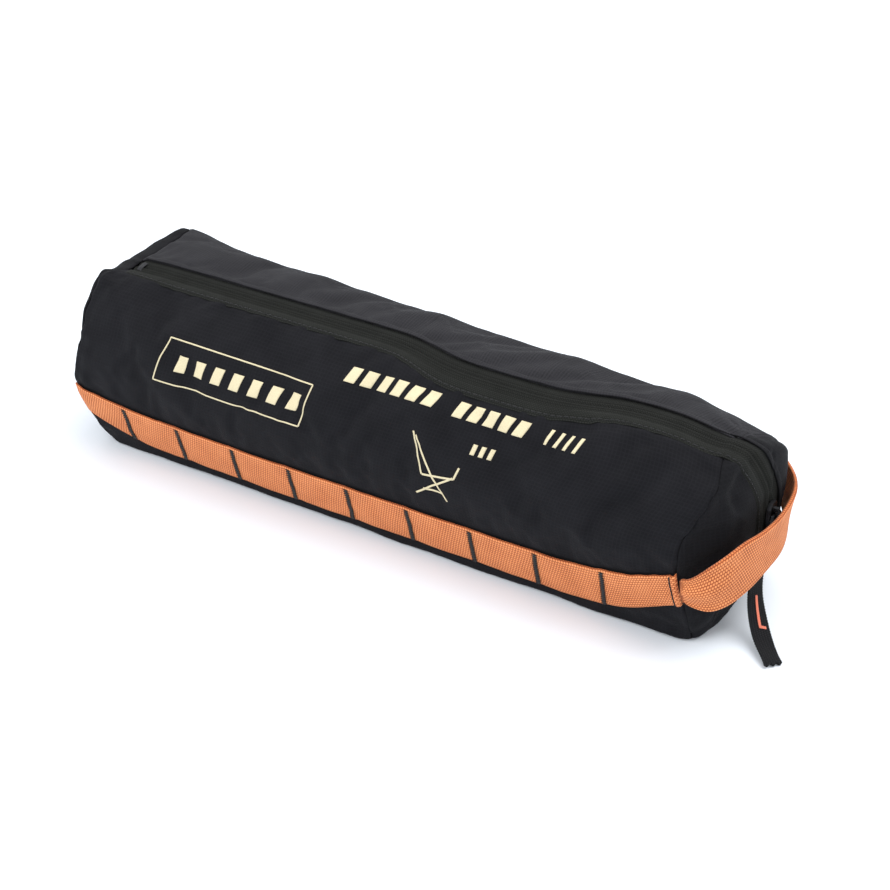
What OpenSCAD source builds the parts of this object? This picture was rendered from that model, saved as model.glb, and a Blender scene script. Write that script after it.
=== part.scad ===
// Packed ultralight camp chair in its zipped carry bag.
// +X runs along the bag towards the grab handle, -Y is the front face, Z = 0 is the surface it lies on.

/* [Bag] */
// Length between the two end seams
bag_length = 364; // [350:1:380]
// Height of the stuffed bag
bag_height = 106; // [100:1:112]
// Width of the stuffed bag at its widest
bag_width = 102; // [98:1:108]
// Thickness given to a fabric panel
panel_t = 1.4; // [1:0.1:1.6]
// How far the right end panel swells past its seam
bulge_right = 18; // [14:1:20]
// How far the left end panel swells past its seam
bulge_left = 17; // [12:1:20]

/* [Webbing] */
// Width of the orange webbing
webbing_w = 25; // [24:0.5:26]
// Thickness of the orange webbing
webbing_t = 1.6; // [1.2:0.1:1.8]
// Distance between two bar tacks
tack_pitch = 37.5; // [36:0.5:39]
// Number of bar tacks
tack_count = 9; // [7:1:9]
// Reach of the grab handle past the right end seam
handle_reach = 30.5; // [29:0.5:33]

/* [Zip] */
// Height of the closed slider on the end panel
slider_z = 60; // [56:1:62]
// Width of the pull strap
strap_w = 10; // [8:0.5:11]
// Thickness of the pull strap
strap_t = 1.4; // [1:0.1:1.6]

/* [Chair frame] */
// Outer diameter of a leg tube
leg_d = 12; // [10:0.5:13]
// Outer diameter of a seat or back pole
pole_d = 10; // [9:0.5:11]
// Wall of every tube
tube_wall = 1; // [0.8:0.1:1.2]
// Length of a folded leg
leg_length = 300; // [280:1:310]
// Length of a folded seat or back pole
pole_length = 316; // [300:1:320]
// Distance between the two hubs
hub_spacing = 296; // [280:1:300]

/* [Hidden] */
$fn = 32;
x_shift = -14;
seam_l = x_shift - bag_length / 2;
seam_r = x_shift + bag_length / 2;
half_w = bag_width / 2;
gap = 0.3;
stations = 20;
tack_shift = 11.4;
tack_x0 = x_shift - tack_shift - 4 * tack_pitch;
stitch_gap = 0.08;
handle_half = half_w + 1.5;
inner_floor = panel_t + 0.4;
leg_z = inner_floor + 9.5;
pole_z = 30;
seat_z = 51;
fabric_z = 60;

// ---- Cross-section of the stuffed bag ----

function mix(a, b, f) = a * (1 - f) + b * f;

// Corner points of the section, from the middle of the base round by the front, top and back.
// f runs from 0 at the left end to 1 at the right end, where the back shoulder drops away.
function section_corners(f) = [
    [0, 0], [-33, 0], [-40, 5], [-46, 25], [-half_w, 50], [2 - half_w, 70],
    [-42, bag_height - 18], [-27, bag_height - 3.4], [-14, bag_height - 0.6], [0, bag_height],
    mix([24, bag_height - 0.4], [14, bag_height - 3.2], f),
    mix([39, bag_height - 5], [30, bag_height - 12.5], f),
    mix([46.5, bag_height - 22], [42, bag_height - 26], f),
    [half_w - 1, 55], [46, 25], [40, 5], [33, 0]];

function spline(a, b, c, d, u) =
    0.5 * (2 * b + (c - a) * u + (2 * a - 5 * b + 4 * c - d) * u * u
    + (3 * b - a - 3 * c + d) * u * u * u);

// Point of the section at t, where whole numbers are the corner points
function section(t, f) =
    let (p = section_corners(f), n = len(p), i = floor(t), u = t - i)
    spline(p[(i + n - 1) % n], p[i % n], p[(i + 1) % n], p[(i + 2) % n], u);

function section_normal(t, f) =
    let (d = section(t + 0.03, f) - section(t - 0.03, f))
    [-d[1], d[0]] / norm(d);

// Section point moved outwards by off
function skin(t, f, off) = section(t, f) + off * section_normal(t, f);

// ---- Swell of an end panel past its seam ----

function swell(y, z) =
    (1 - pow(min(1, abs(y) / (half_w + 1)), 2.4)) * (1 - pow(min(1, abs(z - 50) / 57), 3.4));

function right_face(y, z) = seam_r + bulge_right * swell(y, z);

function left_face(y, z) = seam_l - bulge_left * swell(y, z);

function along(x) = (x - seam_l) / bag_length;

// ---- Shifts along the section, at a place x along the bag ----

still = function(x) 0;

// The sewn zip wanders towards the front over the middle of the bag
zip_drift = function(x) 0.18 - 0.72 * exp(-pow((x - 50) / 52, 4));

// The webbing climbs towards both end seams
web_lift = function(x) 0.62 * pow(max(0, (x - 85) / 83), 2.4) + 0.2 * pow(max(0, (-x - 60) / 136), 2);

// ---- Solid between two grids of points ----

function flat_list(grid) = [for (row = grid) for (p = row) p];

module shell(outer, inner) {
    rows = len(outer);
    cols = len(outer[0]);
    total = rows * cols;
    function id(i, j) = i * cols + j;
    tops = [for (i = [0:rows - 2]) for (j = [0:cols - 2])
        each [[id(i, j), id(i + 1, j), id(i + 1, j + 1)], [id(i, j), id(i + 1, j + 1), id(i, j + 1)]]];
    bottoms = [for (f = tops) [f[2] + total, f[1] + total, f[0] + total]];
    rim = concat([for (j = [0:cols - 2]) [id(0, j), id(0, j + 1)]],
        [for (j = [0:cols - 2]) [id(rows - 1, j + 1), id(rows - 1, j)]],
        [for (i = [0:rows - 2]) [id(i + 1, 0), id(i, 0)]],
        [for (i = [0:rows - 2]) [id(i, cols - 1), id(i + 1, cols - 1)]]);
    sides = [for (e = rim) each [[e[0], e[1], e[1] + total], [e[0], e[1] + total, e[0] + total]]];
    polyhedron(points = concat(flat_list(outer), flat_list(inner)),
        faces = concat(tops, bottoms, sides), convexity = 6);
}

// Sheet that follows the section from t0 to t1, between two distances from the skin
module wrap(t0, t1, steps, off_out, off_in, end_gap, shift = still) {
    function grid(off) = [for (i = [0:stations])
        let (u = i / stations, top = t1 + shift(mix(seam_l, seam_r, u)))
        [for (j = [0:steps])
            let (p = skin(mix(t0, top, j / steps), u, off),
                a = left_face(p[0], p[1]) + end_gap, b = right_face(p[0], p[1]) - end_gap)
            [mix(a, b, u), p[0], p[1]]]];
    shell(grid(off_out), grid(off_in));
}

// The same sheet between two stations along the bag
module patch(x0, x1, nx, t0, t1, steps, off_out, off_in, shift0 = still, shift1 = still) {
    function grid(off) = [for (i = [0:nx]) let (x = mix(x0, x1, i / nx)) [for (j = [0:steps])
        let (p = skin(mix(t0 + shift0(x), t1 + shift1(x), j / steps), along(x), off)) [x, p[0], p[1]]]];
    shell(grid(off_out), grid(off_in));
}

// Flat strip along a path: centres, directions across its width
module ribbon(path, across, width, thick) {
    n = len(path);
    function ahead(i) = path[min(i + 1, n - 1)] - path[max(i - 1, 0)];
    function face(i) = let (c = cross(ahead(i), across[i])) c / norm(c);
    function grid(side) = [for (i = [0:n - 1]) [for (s = [-1, 1])
        path[i] + s * width / 2 * across[i] + side * thick / 2 * face(i)]];
    shell(grid(1), grid(-1));
}

// Rows of points that span an end panel from front to back
module end_panel(f, outer_off, inner_off, right) {
    function face(y, z) = right ? right_face(y, z) : left_face(y, z);
    function grid(off) = [for (i = [0:14]) let (t = 1 + i * 0.5, a = section(t, f), b = section(17 - t, f))
        [for (j = [0:10]) let (k = right ? j / 10 : 1 - j / 10, p = mix(a, b, k))
        [face(p[0], p[1]) + off, p[0], p[1]]]];
    shell(grid(outer_off), grid(inner_off));
}

// ---- Bag panels ----

base_half = 32.8;

module base_panel() {
    steps = 12;
    ys = [for (i = [0:steps]) base_half * (2 * i / steps - 1)];
    inset = panel_t + gap;
    color("#232327")
        linear_extrude(panel_t)
            polygon(concat([for (y = ys) [right_face(y, 0) - inset, y]],
                [for (i = [0:steps]) [left_face(ys[steps - i], 0) + inset, ys[steps - i]]]));
}

module front_panel() {
    color("#26262a")
        wrap(1, 7, 24, 0, -panel_t, panel_t + gap, zip_drift);
}

module back_panel() {
    color("#26262a")
        wrap(11.03, 16, 20, 0, -panel_t, panel_t + gap);
}

module left_end_panel() {
    color("#1f1f23")
        end_panel(0, 0, panel_t, false);
}

module right_end_panel() {
    color("#1f1f23")
        end_panel(1, 0, -panel_t, true);
}

flap_x0 = seam_l + 0.6;
flap_x1 = seam_r - 0.6;

module top_flap() {
    color("#38383c")
        patch(flap_x0, flap_x1, stations, 8.75, 10.97, 10, 0.9, 0.9 - panel_t, zip_drift);
}

// Rolled front edge of the flap, which half covers the rear tape
module flap_fold() {
    color("#2c2c30")
        patch(flap_x0, flap_x1, stations, 8.55, 8.74, 1, 1.3, -0.1, zip_drift, zip_drift);
}

// ---- Zip along the top ----

module zip_tape_front() {
    color("#1c1d1c")
        patch(flap_x0, flap_x1, stations, 7.02, 7.92, 4, -0.2, -0.8, zip_drift, zip_drift);
}

module zip_tape_rear() {
    color("#1c1d1c")
        patch(flap_x0, flap_x1, stations, 8.05, 8.54, 3, -0.2, -0.8, zip_drift, zip_drift);
}

module zip_coil_front() {
    color("#121212")
        patch(flap_x0, flap_x1, stations, 7.80, 7.97, 1, 0.5, -0.15, zip_drift, zip_drift);
}

module zip_coil_rear() {
    color("#121212")
        patch(flap_x0, flap_x1, stations, 8.01, 8.18, 1, 0.5, -0.15, zip_drift, zip_drift);
}

module zip_bottom_stop() {
    color("#151515")
        patch(flap_x0 + 0.4, flap_x0 + 3, 1, 7.78, 7.97, 1, 1.3, 0.55, zip_drift, zip_drift);
}

// ---- Zip down the right end panel ----

// Sideways drift of the zip as it comes down the end panel
function end_zip_y(z) = mix(4, -10, pow(max(0, z - 55) / 50, 1.6));

module end_strip(z0, side_0, side_1, off_in, off_out) {
    function grid(off) = [for (i = [0:12]) let (z = mix(z0, 101, i / 12)) [for (s = [side_1, side_0])
        let (y = end_zip_y(z) + s) [right_face(y, z) + off, y, z]]];
    shell(grid(off_out), grid(off_in));
}

module end_zip_tape() {
    color("#1c1d1c") {
        end_strip(42, 0.3, 9, 0.35, 0.95);
        end_strip(42, -9, -0.3, 0.35, 0.95);
    }
}

module end_zip_coil() {
    color("#121212") {
        end_strip(48, 0.15, 2.2, 0.97, 1.7);
        end_strip(48, -2.2, -0.15, 0.97, 1.7);
    }
}

module zip_top_stop() {
    color("#151515")
        translate([seam_r + bulge_right + 0.97, end_zip_y(50) - 3.5, 45])
            cube([1.6, 7, 2.4]);
}

// ---- Slider, pull tab and strap ----

slider_x = seam_r + bulge_right + 2.1;
slider_y = end_zip_y(slider_z);

module slider_body() {
    color("#2b2b2d")
        translate([slider_x, slider_y, slider_z])
            rotate([90, 0, 90])
                linear_extrude(2)
                    polygon([[-3, -6.5], [3, -6.5], [4.6, -2], [4.6, 4],
                        [2.4, 6.5], [-2.4, 6.5], [-4.6, 4], [-4.6, -2]]);
}

bail_r = 2.6;

module slider_bridge() {
    color("#2b2b2d")
        translate([slider_x + 2, slider_y + 1, slider_z])
            rotate([90, 0, 0])
                linear_extrude(2)
                    difference() {
                        union() {
                            translate([0.4, 0])
                                circle(r = bail_r + 1.2);
                            translate([0, -3.8])
                                square([2.6, 7.6]);
                        }
                        translate([0.8, 0])
                            circle(r = bail_r - 0.8);
                        translate([-8, -6])
                            square([8, 12]);
                    }
}

pull_x = slider_x + 3.1;
pull_z = slider_z;

// Wire ring through the bridge, with its tail towards the strap
module pull_tab() {
    color("#3a3a3d") {
        translate([pull_x, slider_y + 3, pull_z])
            rotate([90, 0, 0])
                cylinder(r = 0.7, h = 6);
        for (side = [-1, 1])
            translate([pull_x - 0.7, slider_y + side * 3.7 - 0.7, pull_z - 10.7])
                cube([1.4, 1.4, 11.4]);
        translate([pull_x - 0.7, slider_y - 3, pull_z - 10.7])
            cube([1.4, 6, 1.4]);
    }
}

strap_path = [
    [pull_x - 0.2, slider_y, pull_z - 10.75], [pull_x - 0.4, slider_y - 4, pull_z - 20],
    [pull_x - 0.2, slider_y - 9, pull_z - 29], [pull_x + 1.6, slider_y - 14, pull_z - 37.5],
    [pull_x + 5, slider_y - 20, pull_z - 46], [pull_x + 11, slider_y - 28, pull_z - 54],
    [pull_x + 18.6, slider_y - 35, pull_z - 58.3]];

strap_across = [
    [0, 1, 0], [0.02, 0.94, -0.34], [0.05, 0.91, -0.41], [0.2, 0.88, -0.43],
    [0.4, 0.83, -0.39], [0.6, 0.75, -0.26], [0.68, 0.72, -0.12]];

module pull_strap() {
    color("#17171a")
        ribbon(strap_path, [for (a = strap_across) a / norm(a)], strap_w, strap_t);
}

// Stitched bar along the middle of the strap
module strap_tack() {
    across = [for (a = strap_across) a / norm(a)];
    lift = [for (i = [2:4]) let (d = cross(strap_path[i + 1] - strap_path[i - 1], across[i]))
        strap_path[i] + (strap_t / 2 + 0.9) * d / norm(d)];
    color("#ef8d6a")
        ribbon(lift, [for (i = [2:4]) across[i]], 1.6, 0.7);
}

// ---- Orange webbing ----

daisy_x1 = seam_r - 5;
web_lo = 2.2;
web_hi = 3.3;

module daisy_chain() {
    color("#f0965f")
        patch(seam_l, daisy_x1, 26, web_lo, web_hi, 4, gap + webbing_t, gap, web_lift, web_lift);
}

module daisy_tacks() {
    color("#141416")
        for (i = [0:tack_count - 1])
            patch(tack_x0 + i * tack_pitch - 0.9, tack_x0 + i * tack_pitch + 0.9, 1,
                web_lo, web_hi, 4, gap + webbing_t + 0.7, gap + webbing_t + stitch_gap, web_lift, web_lift);
}

module daisy_end_stitch() {
    color("#141416")
        patch(daisy_x1 - 0.8, daisy_x1, 1, web_lo, web_hi, 4,
            gap + webbing_t + 0.4, gap + webbing_t + stitch_gap, web_lift, web_lift);
}

// Folded tail of the webbing, from the stitch to just short of the seam, clear of the handle as it lifts
module daisy_fold() {
    color("#f0965f")
        patch(daisy_x1 + 0.1, seam_r - 1.6, 1, web_lo, web_hi, 4,
            gap + webbing_t + 0.8, gap, web_lift, web_lift);
}

// Centre line of the handle loop at angle a, from the front seam to the back seam
function handle_point(a) = [
    seam_r + 1 + (handle_reach - 0.5) * pow(sin(a), 0.8), -handle_half * cos(a),
    37 + 21 * sin(min(a, 90)) + 4 * max(0, a - 90) / 90];

handle_angles = [for (i = [0:20]) i * 180 / 20];

module grab_handle() {
    color("#f0965f")
        ribbon([for (a = handle_angles) handle_point(a)], [for (a = handle_angles) [0, 0, -1]],
            webbing_w, webbing_t);
}

module handle_stitch(a0, a1) {
    color("#c9713f")
        ribbon([for (a = [a0, a1]) handle_point(a) + [0, a < 90 ? -1.2 : 1.2, 0]],
            [[0, 0, -1], [0, 0, -1]], webbing_w - 2, 0.7);
}

module handle_stitch_front() {
    handle_stitch(0.5, 3.5);
}

module handle_stitch_back() {
    handle_stitch(176.5, 179.5);
}

// ---- Folded chair inside the bag ----

module tube(x0, length, y, z, d) {
    translate([x0, y, z])
        rotate([0, 90, 0])
            difference() {
                cylinder(d = d, h = length);
                translate([0, 0, -1])
                    cylinder(d = d - 2 * tube_wall, h = length + 2);
            }
}

module rod(x0, length, y, z, d) {
    translate([x0, y, z])
        rotate([0, 90, 0])
            cylinder(d = d, h = length);
}

leg_ys = [-28.5, -9.5, 9.5, 28.5];
pole_ys = [-34, -22, 22, 34];
seat_ys = [-26, 26];
hub_l = x_shift - hub_spacing / 2;
hub_r = x_shift + hub_spacing / 2;
hub_w = 30;
socket_ys = [-9, 9];
socket_z = 48.5;
spreader_z = 33;

// Moulded hub: a block with four stub sockets and a bore for the spreader
module hub(x, side) {
    color("#2a2b2e")
        difference() {
            union() {
                translate([x - 12, -hub_w / 2, 22.5])
                    cube([24, hub_w, 22]);
                for (y = socket_ys)
                    rod(side < 0 ? x - 12 : x - 22, 34, y, socket_z, 9);
            }
            rod(x - 20, 40, 0, spreader_z, leg_d + 0.1);
            for (y = socket_ys)
                rod(x - 40, 80, y, socket_z, 6);
        }
}

module hub_left() {
    hub(hub_l, -1);
}

module hub_right() {
    hub(hub_r, 1);
}

module spreader() {
    color("#b9bcc2")
        tube(hub_l - 10, hub_spacing + 20, 0, spreader_z, leg_d);
}

module leg(i, shift) {
    color("#b9bcc2")
        tube(x_shift - leg_length / 2 + shift, leg_length, leg_ys[i], leg_z, leg_d);
}

module leg_front_left() {
    leg(0, -6);
}

module leg_rear_left() {
    leg(1, -6);
}

module leg_rear_right() {
    leg(2, 6);
}

module leg_front_right() {
    leg(3, 6);
}

// Rubber feet: a cap with a domed end on one end of each leg
module leg_feet() {
    color("#1b1b1d")
        for (i = [0:3]) {
            side = i < 2 ? 1 : -1;
            x = x_shift - 6 * side + side * leg_length / 2;
            translate([x, leg_ys[i], leg_z])
                rotate([0, 90 * side, 0])
                    difference() {
                        union() {
                            translate([0, 0, -14])
                                cylinder(d = 16, h = 18);
                            translate([0, 0, 4])
                                cylinder(d1 = 18, d2 = 14, h = 5, $fn = 40);
                        }
                        translate([0, 0, -15])
                            cylinder(d = leg_d + 0.04, h = 15);
                    }
        }
}

module pole(y, z, x0) {
    color("#c4c7cc")
        tube(x0, pole_length, y, z, pole_d);
}

pole_x0 = x_shift - pole_length / 2;

module seat_pole_left() {
    pole(seat_ys[0], seat_z, pole_x0);
}

module seat_pole_right() {
    pole(seat_ys[1], seat_z, pole_x0);
}

module back_pole_lower_left() {
    pole(pole_ys[0], pole_z, pole_x0);
}

module back_pole_upper_left() {
    pole(pole_ys[1], pole_z, pole_x0);
}

module back_pole_upper_right() {
    pole(pole_ys[2], pole_z, pole_x0);
}

module back_pole_lower_right() {
    pole(pole_ys[3], pole_z, pole_x0);
}

// Moulded tips that plug into the corner pockets of the seat
module pole_tips() {
    tips = [[seat_ys[0], seat_z], [seat_ys[1], seat_z], [pole_ys[1], pole_z], [pole_ys[2], pole_z]];
    color("#e9854f")
        for (p = tips)
            translate([pole_x0, p[0], p[1]])
                rotate([0, -90, 0]) {
                    cylinder(d = pole_d, h = 5);
                    translate([0, 0, -12])
                        cylinder(d = pole_d - 2 * tube_wall - 0.04, h = 13);
                }
}

// Elastic cord from a hub socket to the folded poles beside it
module shock_cord(side) {
    reach = 44;
    x_end = x_shift + side * (pole_length / 2 + 3);
    color("#d9602f")
        for (y = socket_ys)
            rod(side < 0 ? x_end : x_end - reach, reach, y, socket_z, 2.6);
}

module shock_cord_left() {
    shock_cord(-1);
}

module shock_cord_right() {
    shock_cord(1);
}

// Folded seat: a rounded flat roll above the poles
module rounded_bar(x0, length, y0, y1, z0, z1, r) {
    translate([x0, 0, 0])
        rotate([90, 0, 90])
            linear_extrude(length)
                union() {
                    translate([y0 + r, z0])
                        square([y1 - y0 - 2 * r, z1 - z0]);
                    translate([y0, z0 + r])
                        square([y1 - y0, z1 - z0 - 2 * r]);
                    for (y = [y0 + r, y1 - r], z = [z0 + r, z1 - r])
                        translate([y, z])
                            circle(r = r);
                }
}

sling_l = x_shift - 150;

module seat_sling() {
    color("#2d2e33")
        rounded_bar(sling_l, 300, -31, 27, fabric_z, 84, 10);
}

module mesh_panel(x0) {
    color("#3f4046")
        rounded_bar(x0, 128, -26, 22, 84.3, 93, 4);
}

module mesh_panel_left() {
    mesh_panel(sling_l + 8);
}

module mesh_panel_right() {
    mesh_panel(sling_l + 164);
}

// Reinforced corner pocket, folded flat against the end of the roll
module pocket(x0, y0) {
    color("#1d1d20")
        translate([x0, y0, fabric_z + 3])
            cube([11, 26, 18]);
}

module pocket_front_left() {
    pocket(sling_l - 11.3, -29);
}

module pocket_rear_left() {
    pocket(sling_l - 11.3, -1);
}

module pocket_front_right() {
    pocket(sling_l + 300.3, -29);
}

module pocket_rear_right() {
    pocket(sling_l + 300.3, -1);
}

// Elastic band that keeps the seat roll closed
module binding_tape() {
    color("#e9854f")
        translate([x_shift - 9, 0, 0])
            difference() {
                rounded_bar(0, 18, -32.6, 28.6, fabric_z - 1.5, 85.6, 11);
                rounded_bar(-1, 20, -31.1, 27.1, fabric_z - 0.05, 84.1, 10);
            }
}

base_panel();
front_panel();
back_panel();
left_end_panel();
right_end_panel();
top_flap();
flap_fold();
zip_tape_front();
zip_tape_rear();
zip_coil_front();
zip_coil_rear();
end_zip_tape();
end_zip_coil();
zip_bottom_stop();
zip_top_stop();
slider_body();
slider_bridge();
pull_tab();
pull_strap();
strap_tack();
daisy_chain();
daisy_tacks();
daisy_end_stitch();
daisy_fold();
grab_handle();
handle_stitch_front();
handle_stitch_back();
hub_left();
hub_right();
spreader();
leg_front_left();
leg_front_right();
leg_rear_left();
leg_rear_right();
leg_feet();
seat_pole_left();
seat_pole_right();
back_pole_lower_left();
back_pole_lower_right();
back_pole_upper_left();
back_pole_upper_right();
pole_tips();
shock_cord_left();
shock_cord_right();
seat_sling();
mesh_panel_left();
mesh_panel_right();
pocket_front_left();
pocket_front_right();
pocket_rear_left();
pocket_rear_right();
binding_tape();
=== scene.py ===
import math

import bpy
import numpy as np
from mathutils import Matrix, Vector, noise
from mathutils.bvhtree import BVHTree


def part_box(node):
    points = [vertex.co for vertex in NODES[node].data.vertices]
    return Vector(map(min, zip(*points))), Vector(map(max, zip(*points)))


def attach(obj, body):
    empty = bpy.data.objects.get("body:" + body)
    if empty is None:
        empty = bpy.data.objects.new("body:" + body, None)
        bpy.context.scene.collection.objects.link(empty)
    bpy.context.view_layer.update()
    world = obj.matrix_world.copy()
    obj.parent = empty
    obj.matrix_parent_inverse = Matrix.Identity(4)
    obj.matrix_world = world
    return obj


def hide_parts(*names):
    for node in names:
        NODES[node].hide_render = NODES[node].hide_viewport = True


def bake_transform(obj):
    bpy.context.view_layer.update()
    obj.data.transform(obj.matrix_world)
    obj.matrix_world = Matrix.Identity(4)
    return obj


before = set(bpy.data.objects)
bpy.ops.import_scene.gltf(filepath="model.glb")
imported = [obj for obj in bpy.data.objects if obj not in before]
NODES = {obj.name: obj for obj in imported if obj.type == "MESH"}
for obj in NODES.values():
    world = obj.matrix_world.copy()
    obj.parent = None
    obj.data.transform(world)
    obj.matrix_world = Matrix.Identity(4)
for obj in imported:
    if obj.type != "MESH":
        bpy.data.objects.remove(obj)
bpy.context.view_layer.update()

# --- camera

camera = bpy.data.objects.new("camera", bpy.data.cameras.new("camera"))
bpy.context.scene.collection.objects.link(camera)
camera.data.lens = 68.28
camera.data.sensor_width = 36
camera.location = (0.3901, -0.6579, 0.5406)
aim = Vector((0.00638, 0, 0.04131))
camera.rotation_mode = "QUATERNION"
camera.rotation_quaternion = (aim - camera.location).to_track_quat("-Z", "Y")
bpy.context.scene.camera = camera
bpy.context.scene.view_settings.view_transform = "Standard"

# --- the bag's surface, in millimetres

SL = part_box("daisy_chain")[0].x * 1000
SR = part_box("daisy_fold")[1].x * 1000 + 1.6
LENGTH = SR - SL
BULGE_R, BULGE_L, FULL_L = 18.0, 16.0, 0.7
MID_Z = 50.0

LEFT = np.array(
    [(0, 0), (-33, 0), (-40, 5), (-46, 25), (-51, 50), (-49, 70), (-42, 88), (-27, 102.6), (-14, 105.4),
     (0, 106), (24, 105.6), (39, 101), (46.5, 84), (50, 55), (46, 25), (40, 5), (33, 0)], float)
RIGHT = LEFT.copy()
RIGHT[10:13] = [(14, 102.8), (30, 93.5), (42, 80)]
CORNERS = len(LEFT)


def blend_rows(u):
    """Catmull-Rom weights of the four rows round a fraction u."""
    cubed = u**3
    inner = [2 - 5 * u**2 + 3 * cubed, u + 4 * u**2 - 3 * cubed]
    return 0.5 * np.stack([-u + 2 * u**2 - cubed, *inner, -(u**2) + cubed], -1)


def section(t, f):
    t, f = np.broadcast_arrays(np.asarray(t, float), np.asarray(f, float))
    i = np.floor(t).astype(int)
    w = blend_rows(t - i)
    out = 0
    for k in range(4):
        n = (i + k - 1) % CORNERS
        out = out + w[..., k, None] * (LEFT[n] * (1 - f[..., None]) + RIGHT[n] * f[..., None])
    return out


def swell(y, z):
    a = np.clip(np.abs(y) / 52, 0, 1) ** 2.4
    b = np.clip(np.abs(z - MID_Z) / 57, 0, 1) ** 3.4
    return (1 - a) * (1 - b)


def smooth(x):
    x = np.clip(x, 0, 1)
    return x * x * (3 - 2 * x)


def bell(x, centre, width):
    return np.exp(-(((x - centre) / width) ** 2))


def unit(v):
    return v / np.maximum(np.linalg.norm(v, axis=-1, keepdims=True), 1e-9)


def running(points):
    """Distance along a path at each of its points."""
    return np.concatenate([[0], np.cumsum(np.linalg.norm(np.diff(points, axis=0), axis=1))])


def grid_faces(rows, cols, flip=False, start=0, close=False):
    """Quads of a grid. close joins its last column to its first."""
    i, j = np.meshgrid(np.arange(rows - 1), np.arange(cols if close else cols - 1), indexing="ij")
    k = (j + 1) % cols
    corners = [i * cols + j, (i + 1) * cols + j, (i + 1) * cols + k, i * cols + k]
    quads = np.stack(corners, -1).reshape(-1, 4) + start
    return quads[:, ::-1] if flip else quads


def left_face(y, z):
    """The left end panel: swollen in the middle, and pushed out as far as its seam beside the webbing."""
    low = 14.5 * bell(z, 40, 36) * smooth(z / 18)
    return SL - (low**3 + (BULGE_L * swell(y, z) ** FULL_L) ** 3) ** (1 / 3)


def right_face(y, z):
    """The right end panel: fuller towards the rear shoulder, and drawn in along its front seam."""
    full = swell(y, z)
    rear = full**0.5 * (6 * bell(y, 26, 24) * bell(z, 84, 22) + 3 * bell(y, 24, 20) * bell(z, 54, 22))
    return SR + BULGE_R * full + rear - 6 * smooth((-y - 30) / 18) * smooth((92 - z) / 30)


def top_seam(t):
    """How far in from the left end its seam lies along the top, where the end panel rolls over."""
    return 10 * smooth((t - 7.1) / 0.8) * smooth((11.6 - t) / 0.9) + 3.5 * bell(t, 6.9, 0.75)


def shoulders(t, y, z, near_left, near_right):
    """The boxy top corners of the left end, and the worn-down rear shoulder of the right end."""
    front, rear = bell(t, 7, 0.55), bell(t, 11, 0.6)
    y = y + near_left * (5 * rear - 3 * front)
    worn = smooth((t - 8.3) / 1.2) * smooth((12.6 - t) / 1.0)
    edge = smooth((t - 5.9) / 1.0) * smooth((12.8 - t) / 1.0) * near_right**6
    return y, z + near_left * (2.4 * front + 3.2 * rear) - 3.4 * near_right * worn - 3.5 * edge


def zip_drift(x):
    return 0.18 - 0.72 * np.exp(-(((np.asarray(x, float) - 50) / 52) ** 4))


def web_lift(x):
    x = np.asarray(x, float)
    return 0.62 * np.maximum(0, (x - 85) / 83) ** 2.4 + 0.2 * np.maximum(0, (-x - 60) / 136) ** 2


PER_CORNER = 6
N_AROUND = CORNERS * PER_CORNER
N_BODY = 92
N_CAP = 12
CAP_HUB = 0.03
T_GRID = np.arange(N_AROUND) / PER_CORNER


def pinch(y, z, near):
    """The section drawn in a little where the panels turn towards an end seam, where near is 1."""
    k = 0.018 * near**2
    lift = smooth(z / 26)
    return y * (1 - k), z - (z - MID_Z) * k * lift


def cap_row(r, right):
    """Ring of an end panel, at a share r of the way from its middle to its seam."""
    y, z = section(T_GRID, float(right)).T
    y, z = shoulders(T_GRID, *pinch(y, z, 1.0), float(not right), float(right))
    y, z = y * r, MID_Z + (z - MID_Z) * r
    if right:
        return np.stack([right_face(y, z), y, z], -1)
    roll = 3.2 * bell(r, 0.9, 0.07) * smooth((z - 84) / 10)
    return np.stack([left_face(y, z) + top_seam(T_GRID) * r**9, y, z + roll], -1)


def resting():
    """Rows of points from the middle of the left end, along the body, to the middle of the right end."""
    shares = np.linspace(CAP_HUB, 1, N_CAP + 1)[:-1]
    rows = [cap_row(r, False) for r in shares]
    for u in np.linspace(0, 1, N_BODY + 1):
        y, z = section(T_GRID, u).T
        y, z = pinch(y, z, 1 - smooth(min(u, 1 - u) * LENGTH / 34))
        a, b = left_face(y, z) + top_seam(T_GRID), right_face(y, z)
        y, z = shoulders(T_GRID, y, z, bell(u * LENGTH, 0, 26), bell((1 - u) * LENGTH, 0, 42))
        rows.append(np.stack([a * (1 - u) + b * u, y, z], -1))
    return np.array(rows + [cap_row(r, True) for r in shares[::-1]])


# Folds of the top: where, width, slant, depth.
# Folds of the front: where along and round, both widths, slant, depth.
TOP_FOLDS = ((-128, 9, 9, -1.6), (-96, 13, 12, 1.5), (-58, 10, 16, -1.7), (-20, 12, 14, 1.6),
             (22, 9, 20, -1.9), (58, 13, 22, 2.0), (92, 9, 18, -2.2), (128, 12, 8, 1.6))
FRONT_FOLDS = ((-75, 6.3, 9, 0.8, 16, -1.5), (-42, 6.2, 8, 0.7, 10, 1.3), (-12, 6.2, 7, 0.6, -6, -1.1),
               (20, 5.9, 10, 0.7, 8, 1.0), (66, 5.6, 9, 0.8, 14, -1.2), (104, 6.0, 12, 0.9, -12, 1.6),
               (134, 5.4, 11, 0.9, -18, -1.9), (118, 4.3, 20, 0.6, 10, 1.3), (-150, 5.2, 16, 0.9, 10, 1.2))


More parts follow.
